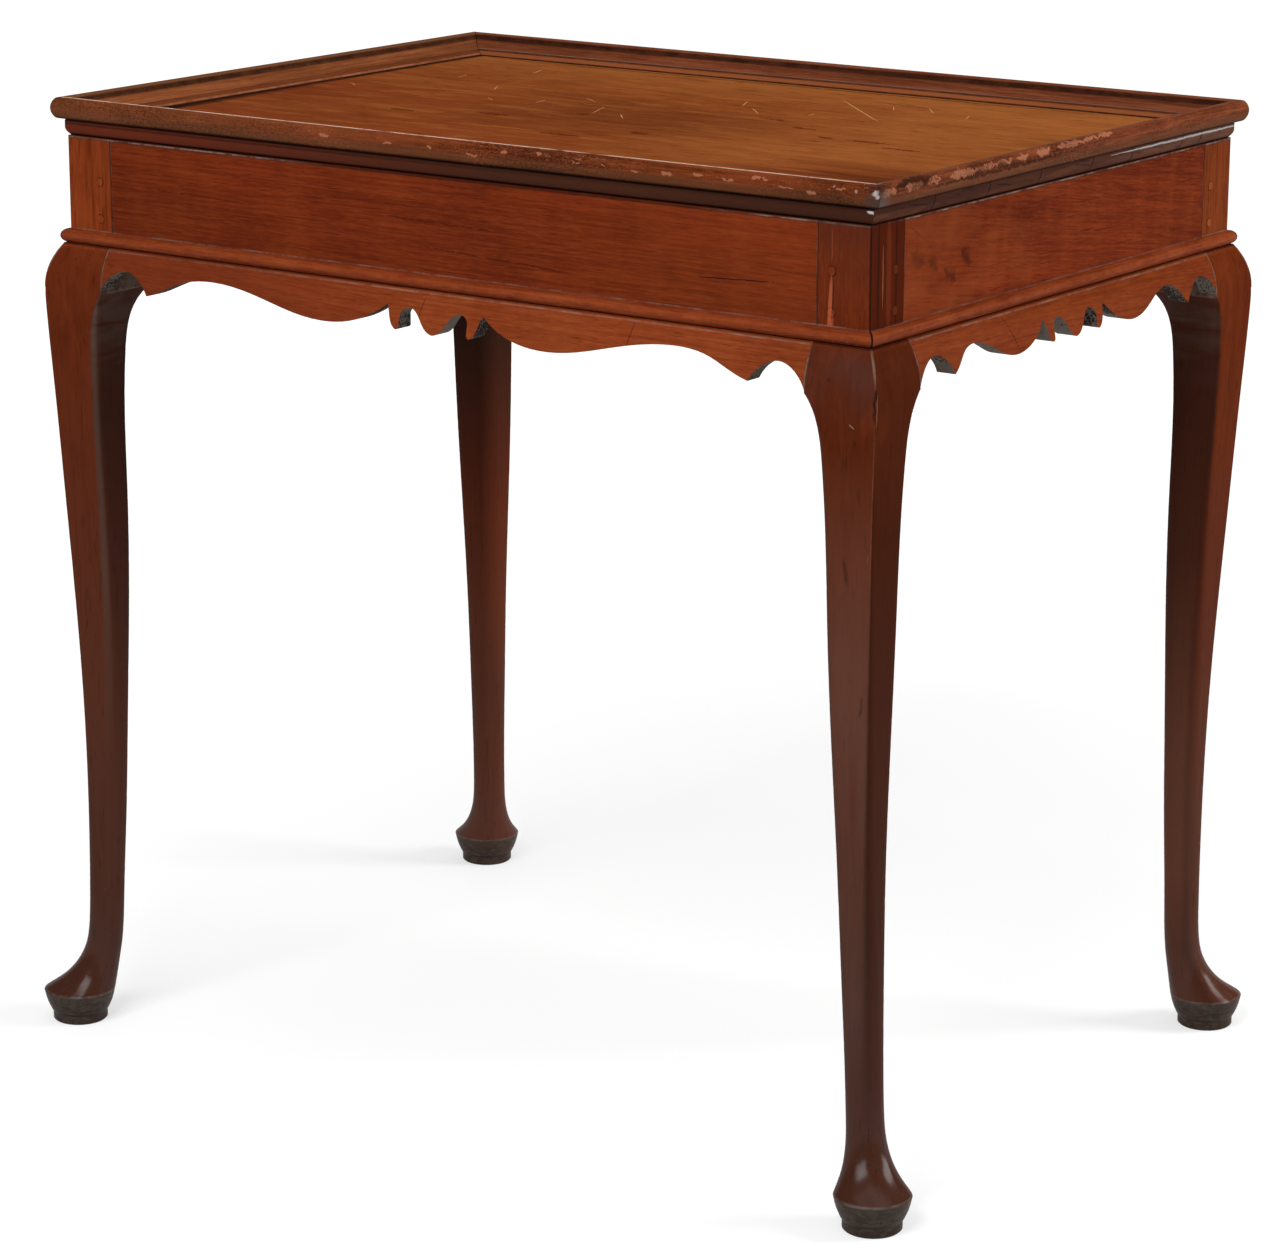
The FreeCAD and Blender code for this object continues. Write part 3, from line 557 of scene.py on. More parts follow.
def rim_finish(side):
    """Rim moulding: dark in the hollows, partly as painted shade, freckled and rubbed through on the nose."""
    lengthways = side in ("front", "back")
    wood = Finish(f"rim_wood_{side}", "X" if lengthways else "Y", RIM_TONES[side],
                  cloud=0.45, figure=0.15, fibre=0.7, ripple=0.1, roughness=0.40)
    run = wood.x if lengthways else wood.y
    reach = tray_y if lengthways else tray_x
    inwards = maths(wood.tree, "SUBTRACT", reach, wood.away(wood.y if lengthways else wood.x))
    height = wood.less(wood.z, rim_seat)
    nose = wood.region(inwards, 8 * MM, 6 * MM)
    upper = wood.both(nose, wood.region(height, 6 * MM, 9 * MM))
    lower = wood.both(nose, wood.region(height, 8 * MM, 5 * MM))
    squeeze = (0.40, 1, 1) if lengthways else (1, 0.40, 1)
    wood.tint(lower, OLIVE_BROWN, 0.55)
    wood.tint(wood.both(upper, wood.cloud((30.0, 30.0, 60.0), 0.45, 0.62)), RUBBED_RED, 0.15)
    if side in ("front", "left"):
        wood.tint(wood.both(nose, wood.region(wood.x, 0.05, -0.25)), NOSE_TAN, 0.50)
    if side == "right":
        freckled = wood.both(upper, wood.region(wood.y, 0.14, -0.02))
    elif side == "front":
        freckled = wood.both(upper, ramp(wood.tree, wood.x, -0.10, 0.08, 0.45, 1.0))
    else:
        freckled = upper
    wood.speckle(1.2 * MM, 0.80, SOOT_AND_SHADOW, 0.42, freckled, 0.0, squeeze)
    wood.speckle(0.8 * MM, 0.75, SOOT_AND_SHADOW, 0.50, nose, 0.0, squeeze)
    # Painted shade: the underside of the nose darkened.
    wood.tint(wood.both(nose, wood.region(height, 2.2 * MM, 0.6 * MM)), SOOT_AND_SHADOW, 0.80)
    wood.speckle(1.0 * MM, 0.55, RUBBED_RED, 0.60, nose)
    if side == "right":
        rub_right_nose(wood, upper)
    else:
        if side == "front":
            wood.speckle(0.9 * MM, 1.0, SOOT_AND_SHADOW, 0.60, wood.both(nose, wood.region(wood.x, 0.24, 0.32)))
        worn = wood.both(upper, wood.region(run, 0.05, 0.14)) if side == "front" else wood.both(upper, 0.5)
        wood.speckle(1.6 * MM, 0.50, BARE_WOOD, 0.80, worn, 0.06, squeeze)
    if side == "front":
        chance = random.Random(FLAKE_SEED)
        for start in spread(16, -0.10, 0.31, 0.75):
            finish = start + chance.uniform(5, 14) * MM
            here = rim_seat + chance.uniform(6.5, 12.0) * MM
            width = chance.uniform(2.2, 5.2) * MM
            wood.front_mark((start, here), (finish, here - 0.7 * MM), width, BARE_WOOD, 0.85, 5.0 * MM, 0.10,
                            core=-0.2, ragged=1.3)
    wood.wear_edges(1.0 * MM, 0.9, BARE_WOOD, 0.35, upper)
    flat_top = wood.between(inwards, 4.2 * MM, 5.0 * MM, 7.4 * MM, 8.2 * MM)
    # Painted highlight: a pale line along the flat top of the front rim.
    if side == "front":
        wood.tint(wood.both(flat_top, wood.cloud((60.0, 60.0, 60.0), 0.26, 0.50)), PAINTED_TOP_HIGHLIGHT, 0.72)
    else:
        wood.tint(flat_top, OLIVE_BROWN, 0.50)
    if side == "left":
        wood.tint(wood.both(wood.region(inwards, 11.0 * MM, 9.0 * MM), wood.region(height, 8 * MM, 10 * MM)),
                  OLIVE_BROWN, 0.75)
    # Painted shade in the quirk and at the foot of the cove, a painted highlight along the foot of the back
    # rim's cove, a painted shadow line along the bottom of the rim, and the lowest band rubbed.
    wood.band(inwards, 10.8 * MM, 3.0 * MM, SOOT_AND_SHADOW, 0.85, 0.2)
    cove = wood.between(inwards, 11 * MM, 12 * MM, 21 * MM, 22 * MM)
    wood.tint(wood.both(cove, wood.cloud((8.0, 8.0, 40.0), 0.45, 0.70)), RIM_TONES[side][0], 0.45)
    band = wood.region(inwards, 21.8 * MM, 22.2 * MM)
    if side == "left":
        wood.tint(band, AMBER_DARK, 0.60)
        wood.band(inwards, 28.4 * MM, 2.6 * MM, BARE_WOOD, 0.60, 0.7)
    else:
        wood.tint(band, BAND_RED, 0.55)
        wood.band(inwards, 22.0 * MM, 1.2 * MM, SOOT_AND_SHADOW, 0.5, 0.5)
    if side == "back":
        wood.band(inwards, 20.6 * MM, 2.0 * MM, GREY_BLOOM_AND_SHEEN, 0.45, 0.4)
    wood.speckle(1.3 * MM, 0.35, BARE_WOOD, 0.6, wood.region(inwards, 20 * MM, 24 * MM))
    wood.band(height, 0.4 * MM, 2.0 * MM, SOOT_AND_SHADOW, 0.9, 0.2, wood.region(inwards, 20 * MM, 22 * MM))
    wood.speckle(1.6 * MM, 0.12, BARE_WOOD, 0.7, cove)
    # Open mitres, and painted highlights and more varnish on the corner nearest the room.
    mitre = wood.less(wood.away(wood.x), wood.away(wood.y))
    wood.band(mitre, tray_x - tray_y, 0.9 * MM, SOOT_AND_SHADOW, 0.85, 0.4)
    corner = wood.both(wood.region(wood.x, tray_x - 16 * MM, tray_x - 5 * MM),
                       wood.region(wood.y, 16 * MM - tray_y, 5 * MM - tray_y))
    wood.tint(corner, SOOT_AND_SHADOW, 0.55)
    if side == "front":
        for inset, z, length, width in ((4, 10, 3, 6), (2, 8, 2, 4), (18, 10, 2, 3), (34, 12, 1, 3)):
            x = tray_x - inset * MM
            here = rim_seat + z * MM
            half = length / 2 * MM
            wood.front_mark((x, here + half), (x + 1 * MM, here - half), width * MM, PAINTED_GLINT,
                            0.85 if inset < 10 else 0.45, 3.0 * MM, core=-0.6)
    gloss = maths(wood.tree, "MULTIPLY_ADD", corner, 0.3, wood.both(nose, 0.05))
    return wood.done(soft_edge=0.9 * MM, varnish=gloss, haze=0.14)


def rub_right_nose(wood, upper):
    """The end nearest the room is rubbed to bare wood in long patches, less so further back."""
    wood.side_mark((-0.224, rim_seat + 12.0 * MM), (-0.182, rim_seat + 12.5 * MM), 11.0 * MM, SOOT_AND_SHADOW, 0.75,
                   6.0 * MM, core=-0.1, ragged=1.3)
    wood.side_mark((-0.186, rim_seat + 6.5 * MM), (-0.010, rim_seat + 9.0 * MM), 6.0 * MM, SOOT_AND_SHADOW, 0.60,
                   6.0 * MM, core=-0.1, ragged=2.2)
    chance = random.Random(PATCH_SEED)
    first, last = -0.243, 0.030
    for start in spread(11, first, last):
        back = (start - first) / (last - first)
        finish = start + chance.uniform(14, 36) * MM
        here = rim_seat + (9.2 + 4.2 * back) * MM
        width = (chance.uniform(8, 12) - 5 * back) * MM
        wood.side_mark((start, here), (finish, here + 0.5 * MM), width, BARE_WOOD, 0.90, 6.0 * MM, 0.12,
                       core=-0.1, ragged=1.5)
    near = wood.both(upper, wood.region(wood.y, 0.06, -0.06))
    wood.speckle(0.9 * MM, 0.95, NOSE_BROWN, 0.80, near)
    front_part = wood.both(upper, wood.region(wood.y, 0.28, 0.02))
    wood.speckle(1.8 * MM, 0.30, BARE_WOOD, 0.60, front_part, 0.0, (1, 0.5, 1))


def rail_finish(side):
    """Frieze rail: quiet horizontal figure, dust lying under the board and on the bead."""
    lengthways = side in ("front", "back")
    shift = (0.31 * SIDES.index(side), 0.17, 0.0)
    tones = (MAHOGANY_DARK, MAHOGANY, MAHOGANY_LIGHT)
    wood = Finish(f"frieze_wood_{side}", "X" if lengthways else "Y", tones, cloud=0.80, figure=0.30,
                  fibre=0.36, ripple=0.10 if lengthways else 0.20, roughness=0.46, offset=shift,
                  slant=0.03 if lengthways else 0.14)
    run = wood.x if lengthways else wood.y
    end = wood.away(run)
    seam = seam_x if lengthways else seam_y
    # Short dark checks in the grain.
    checks = wood.cloud((26.0, 26.0, 700.0) if lengthways else (26.0, 20.0, 620.0), 0.62, 0.70)
    wood.tint(checks, MAHOGANY_DARK, 0.55)
    if side == "front":
        # Painted light: lighter towards the right end, darker towards the left.
        wood.tint(wood.region(run, 0.05, 0.28), MAHOGANY_LIGHT, 0.16)
        wood.tint(wood.region(run, -0.12, -0.30), MAHOGANY_DARK, 0.18)
        y = -face_y
        wood.stroke((0.198, y, 0.6143), (0.266, y, 0.617), 1.0 * MM, SOOT_AND_SHADOW, 0.85, 1.5 * MM, 0.2)
        wood.stroke((-0.020, y, 0.612), (0.110, y, 0.606), 1.4 * MM, MAHOGANY_DARK, 0.8, 3.0 * MM)
        wood.stroke((-0.060, y, 0.630), (0.060, y, 0.627), 1.8 * MM, MAHOGANY_DARK, 0.7, 4.0 * MM)
        wood.stroke((-0.270, y, 0.6285), (-0.160, y, 0.6255), 1.6 * MM, MAHOGANY_DARK, 0.6, 3.0 * MM)
    if side == "right":
        x = face_x
        chance = random.Random(STAIN_SEED)
        for y in spread(4, -0.19, -0.13):
            z = chance.uniform(0.620, 0.640)
            width = chance.uniform(6, 18) * MM
            wood.stroke((x, y, z), (x, y + 14 * MM, z - 9 * MM), width, STAIN, 0.85, 9.0 * MM,
                        core=0.0)
        wood.stroke((x, -0.196, 0.655), (x, -0.166, 0.638), 1.1 * MM, SOOT_AND_SHADOW, 0.8, 3.0 * MM)
        # Painted light: lighter towards the near end, with patches of painted sheen.
        wood.tint(wood.region(run, -0.10, -0.19), CHERRY, 0.30)
        sheen = wood.cloud((4.0, 17.0, 34.0), 0.46, 0.70)
        wood.tint(wood.both(sheen, wood.region(run, 0.10, -0.12)), CHERRY_LIGHT, 0.22)
    # Painted shadow: a dark line under the board's edge.
    wood.band(wood.z, frame_top - 0.6 * MM, 2.6 * MM, SOOT_AND_SHADOW, 0.70, 0.1)
    ends = maths(wood.tree, "MAXIMUM", wood.region(run, -0.10, -0.18), wood.region(run, 0.20, 0.26))
    wood.band(wood.z, frame_top - 0.9 * MM, 1.1 * MM, DUST_AND_SHEEN, 0.50, 0.9, ends if side == "front" else None)
    wood.band(wood.z, bead_top + 0.3 * MM, 1.1 * MM, DUST_AND_SHEEN, 0.30 if side == "front" else 0.16, 0.8)
    wood.band(end, seam, 1.6 * MM, SOOT_AND_SHADOW, 0.8, 0.2)
    wood.band(end, seam - 0.5 * MM, 0.8 * MM, DUST_AND_SHEEN, 0.14, 1.0)
    return wood.done(varnish=0.04)


APRON_TONES = dict.fromkeys(SIDES, (CHERRY_DARK, CHERRY, CHERRY_LIGHT))
APRON_SEAMS = (-0.010, 0.159)         # fine upright seams in the front apron, along X
APRON_TONES["right"] = ((0.070, 0.0110, 0.0028), (0.186, 0.0320, 0.0065), (0.290, 0.0680, 0.0150))


def apron_finish(side):
    """Scalloped apron: clearer than the frieze in tone, its sawn edge grey."""
    lengthways = side in ("front", "back")
    shift = (0.23 * SIDES.index(side), 0.41, 0.0)
    wood = Finish(f"apron_wood_{side}", "X" if lengthways else "Y", APRON_TONES[side],
                  cloud=0.45, figure=0.35, fibre=0.30, ripple=0.12, roughness=0.44, offset=shift, slant=0.05)
    end = wood.away(wood.x if lengthways else wood.y)
    seam = seam_x if lengthways else seam_y
    outer = face_y if lengthways else face_x
    wood.band(wood.z, bead_bottom - 1.7 * MM, 1.1 * MM, DUST_AND_SHEEN, 0.30, 0.8)
    if side == "front":
        # Painted shade: darker towards the left end.
        wood.tint(wood.region(wood.x, -0.03, -0.17), APRON_SHADE, 0.50)
        wood.front_mark((-0.292, 0.5738), (-0.284, 0.5720), 4.0 * MM, SOOT_AND_SHADOW, 0.35, 3.0 * MM, core=-0.3)
        for x in APRON_SEAMS:
            wood.front_mark((x, 0.581), (x - 3 * MM, 0.561), 0.9 * MM, SOOT_AND_SHADOW, 0.65, 1.5 * MM)
    if side == "right":
        wood.side_mark((-0.088, 0.583), (-0.073, 0.553), 1.0 * MM, SOOT_AND_SHADOW, 0.65, 2.0 * MM)
        wood.side_mark((-0.121, 0.567), (-0.116, 0.565), 3.0 * MM, FRESH_CHIP, 0.9, 1.0 * MM)
    sawn = wood.region(wood.facing("Y" if lengthways else "X"), 0.30, 0.15)
    lower_part = wood.region(wood.z, bead_bottom - 6 * MM, bead_bottom - 9 * MM)
    sawn = wood.both(sawn, lower_part)
    across = wood.away(wood.y if lengthways else wood.x)
    inner = wood.region(across, outer - 1.0 * MM, outer - 2.5 * MM)
    for mask in (sawn, inner):
        wood.tint(mask, SAWN_GREY, 0.92)
        wood.speckle(1.8 * MM, 1.1, SOOT_AND_SHADOW, 0.9, mask, 0.2)
        wood.matt(mask, SAWN_ROUGHNESS)
    wood.wear_edges(0.8 * MM, 0.8, BARE_WOOD, 0.35, lower_part)
    wood.band(end, seam, 1.8 * MM, SOOT_AND_SHADOW, 0.60, 0.2)
    wood.band(end, seam - 0.2 * MM, 0.9 * MM, DUST_AND_SHEEN, 0.40, 0.8)
    # Painted shadow: a dark line under the bead.
    wood.band(wood.z, bead_bottom - 0.2 * MM, 0.9 * MM, SOOT_AND_SHADOW, 0.55, 0.2)
    return wood.done(varnish=0.06)


def bead_finish(side):
    """Half-round bead, its top dusty, with a painted highlight along its upper half and painted shade on its
    underside.
    """
    lengthways = side in ("front", "back")
    wood = Finish(f"bead_wood_{side}", "X" if lengthways else "Y",
                  (MAHOGANY_DARK, BEAD_WOOD_RIGHT if side == "right" else BEAD_WOOD, BEAD_LIGHT),
                  cloud=0.45, figure=0.15, fibre=0.50, ripple=0.15, roughness=0.38)
    wood.speckle(1.6 * MM, 0.30, SOOT_AND_SHADOW, 0.7)
    wood.speckle(2.2 * MM, 0.18, BARE_WOOD, 0.7, None, 0.1)
    middle = (bead_top + bead_bottom) / 2
    # Painted highlight along the upper half, painted shade on the underside.
    wood.band(wood.z, middle + 1.0 * MM, 4.0 * MM, BEAD_SHEEN, 0.40, 0.7)
    wood.tint(wood.region(wood.z, middle - 3.0 * MM, bead_bottom + 0.3 * MM), SOOT_AND_SHADOW, 0.18)
    across = wood.away(wood.y if lengthways else wood.x)
    wood.band(across, (face_y if lengthways else face_x) + 0.3 * MM, 1.4 * MM, DUST_AND_SHEEN, 0.34, 0.7)
    mitre = wood.less(wood.away(wood.x), wood.away(wood.y))
    wood.band(mitre, face_x - face_y, 2.0 * MM, SOOT_AND_SHADOW, 0.97, 0.0)
    near = wood.both(wood.region(wood.x, face_x - 50 * MM, face_x - 10 * MM),
                     wood.region(wood.y, 10 * MM - face_y, -face_y))
    wood.speckle(3.0 * MM, 0.55, BARE_WOOD, 0.8, near, 0.15)
    return wood.done(varnish=0.08, haze=0.2)


POST_WOOD = {
    "front_left": (0.235, 0.0420, 0.0100),
    "front_right": (0.140, 0.0235, 0.0062),
    "back_left": (0.200, 0.0350, 0.0080),
    "back_right": (0.236, 0.0540, 0.0145),
}
# Leg tones; the back-left one is lighter as painted light, against the shade that the table casts on that
# leg.
LEG_WOOD_AND_PAINTED_LIGHT = {
    "front_left": (0.088, 0.0155, 0.0045),
    "front_right": (0.076, 0.0145, 0.0042),
    "back_left": (0.232, 0.0350, 0.0055),
    "back_right": (0.100, 0.0165, 0.0035),
}
BROWN_FROM = {"front_left": 0.56, "front_right": 0.52, "back_left": 0.30, "back_right": 0.52}
INNER_PAINTED_SHADE = {"front_left": 0.80, "front_right": 0.60, "back_left": 1.00, "back_right": 0.72}
INNER_PAINTED_LIGHT = {"front_left": 0.10, "front_right": 0.10, "back_left": 0.18, "back_right": 0.62}
INNER_PAINTED_LIGHT_COLOUR = (0.130, 0.0460, 0.0260)
PEG_RADIUS = 3.0 * MM
PEG_INSET = 10.5 * MM            # from the shoulder of the rail to the middle of a peg
PEG_DROPS = (31.0 * MM, 57.0 * MM)    # below the board
PAD_EDGE = 23.0 * MM             # height of the widest part of the pad foot
DISC_TOP = 6.5 * MM              # height of the disc that the foot stands on


def leg_finish(corner):
    """Leg: reddish post and knee, browner, darker and glossier on the way down to the foot."""
    end = 1 if "right" in corner else -1
    side = -1 if "front" in corner else 1
    shift = (0.37 * CORNERS.index(corner), 0.19 * CORNERS.index(corner), 0.0)
    wood = Finish(f"leg_wood_{corner}", "Z", (MAHOGANY_DARK, POST_WOOD[corner], MAHOGANY_LIGHT),
                  cloud=0.70, figure=0.20, fibre=0.12 if corner == "front_right" else 0.30, ripple=0.10,
                  roughness=0.40, offset=shift)
    along_x = wood.away(wood.x)
    along_y = wood.away(wood.y)
    leg = wood.region(wood.z, bead_bottom, bead_bottom - 4 * MM)
    post = wood.region(wood.z, bead_bottom - 4 * MM, bead_bottom)
    wood.tint(leg, LEG_WOOD_AND_PAINTED_LIGHT[corner], 0.80)
    wood.speckle(1.4 * MM, 0.30, SOOT_AND_SHADOW, 0.60, post, 0.0, (1, 1, 0.3))
    down = wood.region(wood.z, BROWN_FROM[corner], 0.16)
    wood.tint(down, WALNUT, 0.78)
    wood.tint(wood.region(wood.z, 0.22, 0.05), WALNUT_DARK, 0.46 if "front" in corner else 0.08)
    if corner != "front_right":
        wood.tint(wood.both(wood.cloud((300.0, 300.0, 16.0), 0.54, 0.64), post), MAHOGANY_DARK, 0.40)
    knee = wood.both(wood.region(wood.z, 0.40, 0.52), leg)
    wood.tint(wood.both(knee, wood.cloud((34.0, 34.0, 15.0), 0.50, 0.68)), MAHOGANY_DARK, 0.42)
    wood.tint(wood.both(knee, wood.cloud((60.0, 60.0, 22.0), 0.54, 0.70)), RUSSET, 0.50)
    wood.matt(down, 0.30)
    # Fibres opened and darkened in vertical streaks, with open pores between them.
    pores = wood.cloud((520.0, 520.0, 38.0), 0.60, 0.68)
    wood.tint(wood.both(pores, leg), SOOT_AND_SHADOW, 0.45)
    streak = wood.cloud((180.0, 180.0, 5.0), 0.52, 0.72)
    wood.tint(wood.both(streak, leg), MAHOGANY_DARK, 0.35)
    # Painted shade on the inner faces under the table, and painted light low down on them.
    inwards = maths(wood.tree, "MAXIMUM", wood.towards("X", -end), wood.towards("Y", -side))
    inner_painted_shade = wood.both(inwards, wood.region(wood.z, 0.10, 0.46))
    wood.tint(wood.both(inner_painted_shade, leg), WALNUT_DARK, INNER_PAINTED_SHADE[corner])
    painted_light_low_down = wood.between(wood.z, 0.06, 0.12, 0.22, 0.36)
    wood.tint(wood.both(painted_light_low_down, inwards), INNER_PAINTED_LIGHT_COLOUR, INNER_PAINTED_LIGHT[corner])
    # Grey wash on the inner faces just under the aprons.
    wash = wood.both(wood.region(wood.z, 0.480, 0.535), wood.cloud((20.0, 20.0, 90.0), 0.35, 0.60))
    wood.tint(wood.both(wood.both(wash, inwards), leg), GREY_BLOOM_AND_SHEEN, 0.16)
    # Joint lines: shoulders of rails and aprons, board and bead; the dark lines under the board's edge and
    # under the bead are painted shadow as well.
    beside_apron = wood.both(leg, wood.region(wood.z, 0.545, 0.550))
    for along, seam in ((along_x, seam_x), (along_y, seam_y)):
        wood.band(along, seam, 1.2 * MM, SOOT_AND_SHADOW, 0.70, 0.3, post)
        wood.band(along, seam, 1.2 * MM, DUST_AND_SHEEN, 0.30, 0.9, beside_apron)
    wood.band(wood.z, frame_top - 0.6 * MM, 2.6 * MM, SOOT_AND_SHADOW, 0.70, 0.1)
    wood.band(wood.z, frame_top - 0.9 * MM, 1.2 * MM, DUST_AND_SHEEN, 0.42, 0.8)
    wood.band(wood.z, bead_top + 0.2 * MM, 1.1 * MM, DUST_AND_SHEEN, 0.40, 0.8)
    wood.band(wood.z, bead_bottom - 0.4 * MM, 1.4 * MM, SOOT_AND_SHADOW, 0.75, 0.1)
    # Rings round the pegs.
    for drop in PEG_DROPS:
        up = wood.less(wood.z, frame_top - drop)
        for along, seam, outward in ((along_x, seam_x, ("Y", side)), (along_y, seam_y, ("X", end))):
            face = wood.both(post, wood.towards(*outward))
            wood.ring(wood.less(along, seam + PEG_INSET), up, SOOT_AND_SHADOW, 0.75, face)
    # The outer arris of the knee is rubbed and dusty; a faint painted highlight runs down the inner arris
    # lower on the leg.
    arris = wood.less(along_x, along_y)
    outer = wood.both(wood.region(along_x, face_x - 8 * MM, face_x - 3 * MM), leg)
    crest = wood.both(outer, wood.region(wood.z, 0.562, 0.568))
    inner_arris_sheen = wood.both(wood.towards("X", -end), wood.towards("Y", side), wood.region(wood.z, 0.20, 0.34))
    wood.tint(inner_arris_sheen, DUST_AND_SHEEN, 0.09)
    wood.tint(wood.both(wood.towards("Y", -side), wood.towards("X", end), leg), SOOT_AND_SHADOW, 0.35)
    wood.band(arris, face_x - face_y, 2.4 * MM, DUST_AND_SHEEN, 0.60, 0.55, crest)
    rubbed = wood.both(outer, wood.region(wood.z, 0.40, 0.54))
    wood.band(arris, face_x - face_y, 1.4 * MM, BARE_WOOD, 0.45, 0.7, rubbed)
    wood.wear_edges(1.2 * MM, 0.9, BARE_WOOD, 0.26, wood.both(leg, wood.region(wood.z, 0.40, 0.52)))
    # Pad foot: a pale line on its rim, a painted highlight; its hollow cup dark, its grey mottling partly
    # worn finish and partly painted reflection of the floor.
    cup = wood.region(wood.z, PAD_EDGE + 1.0 * MM, PAD_EDGE - 0.5 * MM)
    wood.tint(cup, CUP_DARK, 0.74)
    wood.tint(wood.both(cup, wood.cloud((170.0, 170.0, 330.0), 0.44, 0.66)), CUP_GREY_AND_REFLECTION, 0.24)
    wood.tint(wood.both(cup, wood.region(wood.z, PAD_EDGE - 9 * MM, PAD_EDGE - 1 * MM)), CUP_GREY_AND_REFLECTION, 0.12)
    wood.band(wood.z, PAD_EDGE + 0.5 * MM, 1.4 * MM, GREY_BLOOM_AND_SHEEN, 0.45, 0.8)
    wood.band(wood.z, DISC_TOP + 1.0 * MM, 1.4 * MM, SOOT_AND_SHADOW, 0.80, 0.3)
    wood.speckle(1.5 * MM, 0.34, SOOT_AND_SHADOW, 0.6, down)
    wood.speckle(1.1 * MM, 0.20, PALE_SCRATCH, 0.4, down)
    if corner == "back_right":
        thigh = wood.between(wood.z, 0.18, 0.28, 0.38, 0.46)
        wood.tint(wood.both(thigh, wood.towards("X", 1)), THIGH_SHADE, 0.40)
    if corner == "front_right":
        mark_near_leg(wood)
    if corner == "front_left":
        wood.stroke((-0.330, -0.254, 0.519), (-0.330, -0.211, 0.525), 1.0 * MM, BARE_WOOD, 0.6, 1.5 * MM)
        for x, z in ((-0.33, 0.57), (-0.32, 0.54), (-0.33, 0.50)):
            wood.stroke((x, -0.262, z + 4 * MM), (x, -0.262, z - 4 * MM), 8 * MM, MAHOGANY_DARK, 0.6, 6 * MM)
    gloss = ramp(wood.tree, wood.z, 0.46, 0.10, 0.02, 0.12)
    on_foot = ramp(wood.tree, wood.z, 0.10, 0.05, 0.0, 0.14)
    gloss = maths(wood.tree, "ADD", gloss, on_foot)
    softness = ramp(wood.tree, wood.z, 0.52, 0.38, 0.9 * MM, 4.5 * MM)
    return wood.done(soft_edge=softness, varnish=gloss, haze=0.21)


def streak_below_peg(wood):
    """Red streak that widens from the upper peg down to the bead, a dark split beside it."""
    front = -face_y
    peg_x = seam_x + PEG_INSET
    for top_z, low_z, width in ((0.6265, 0.6000, 2.8), (0.6200, 0.5850, 3.6), (0.6100, 0.5700, 5.0)):
        wood.stroke((peg_x, front, top_z), (peg_x - 1.8 * MM, front, low_z), width * MM, RUBBED_RED, 0.85,
                    0.3 * MM)
    wood.stroke((peg_x + 1.6 * MM, front, 0.6230), (peg_x + 0.4 * MM, front, 0.5960), 1.3 * MM, SOOT_AND_SHADOW, 0.75,
                0.5 * MM)


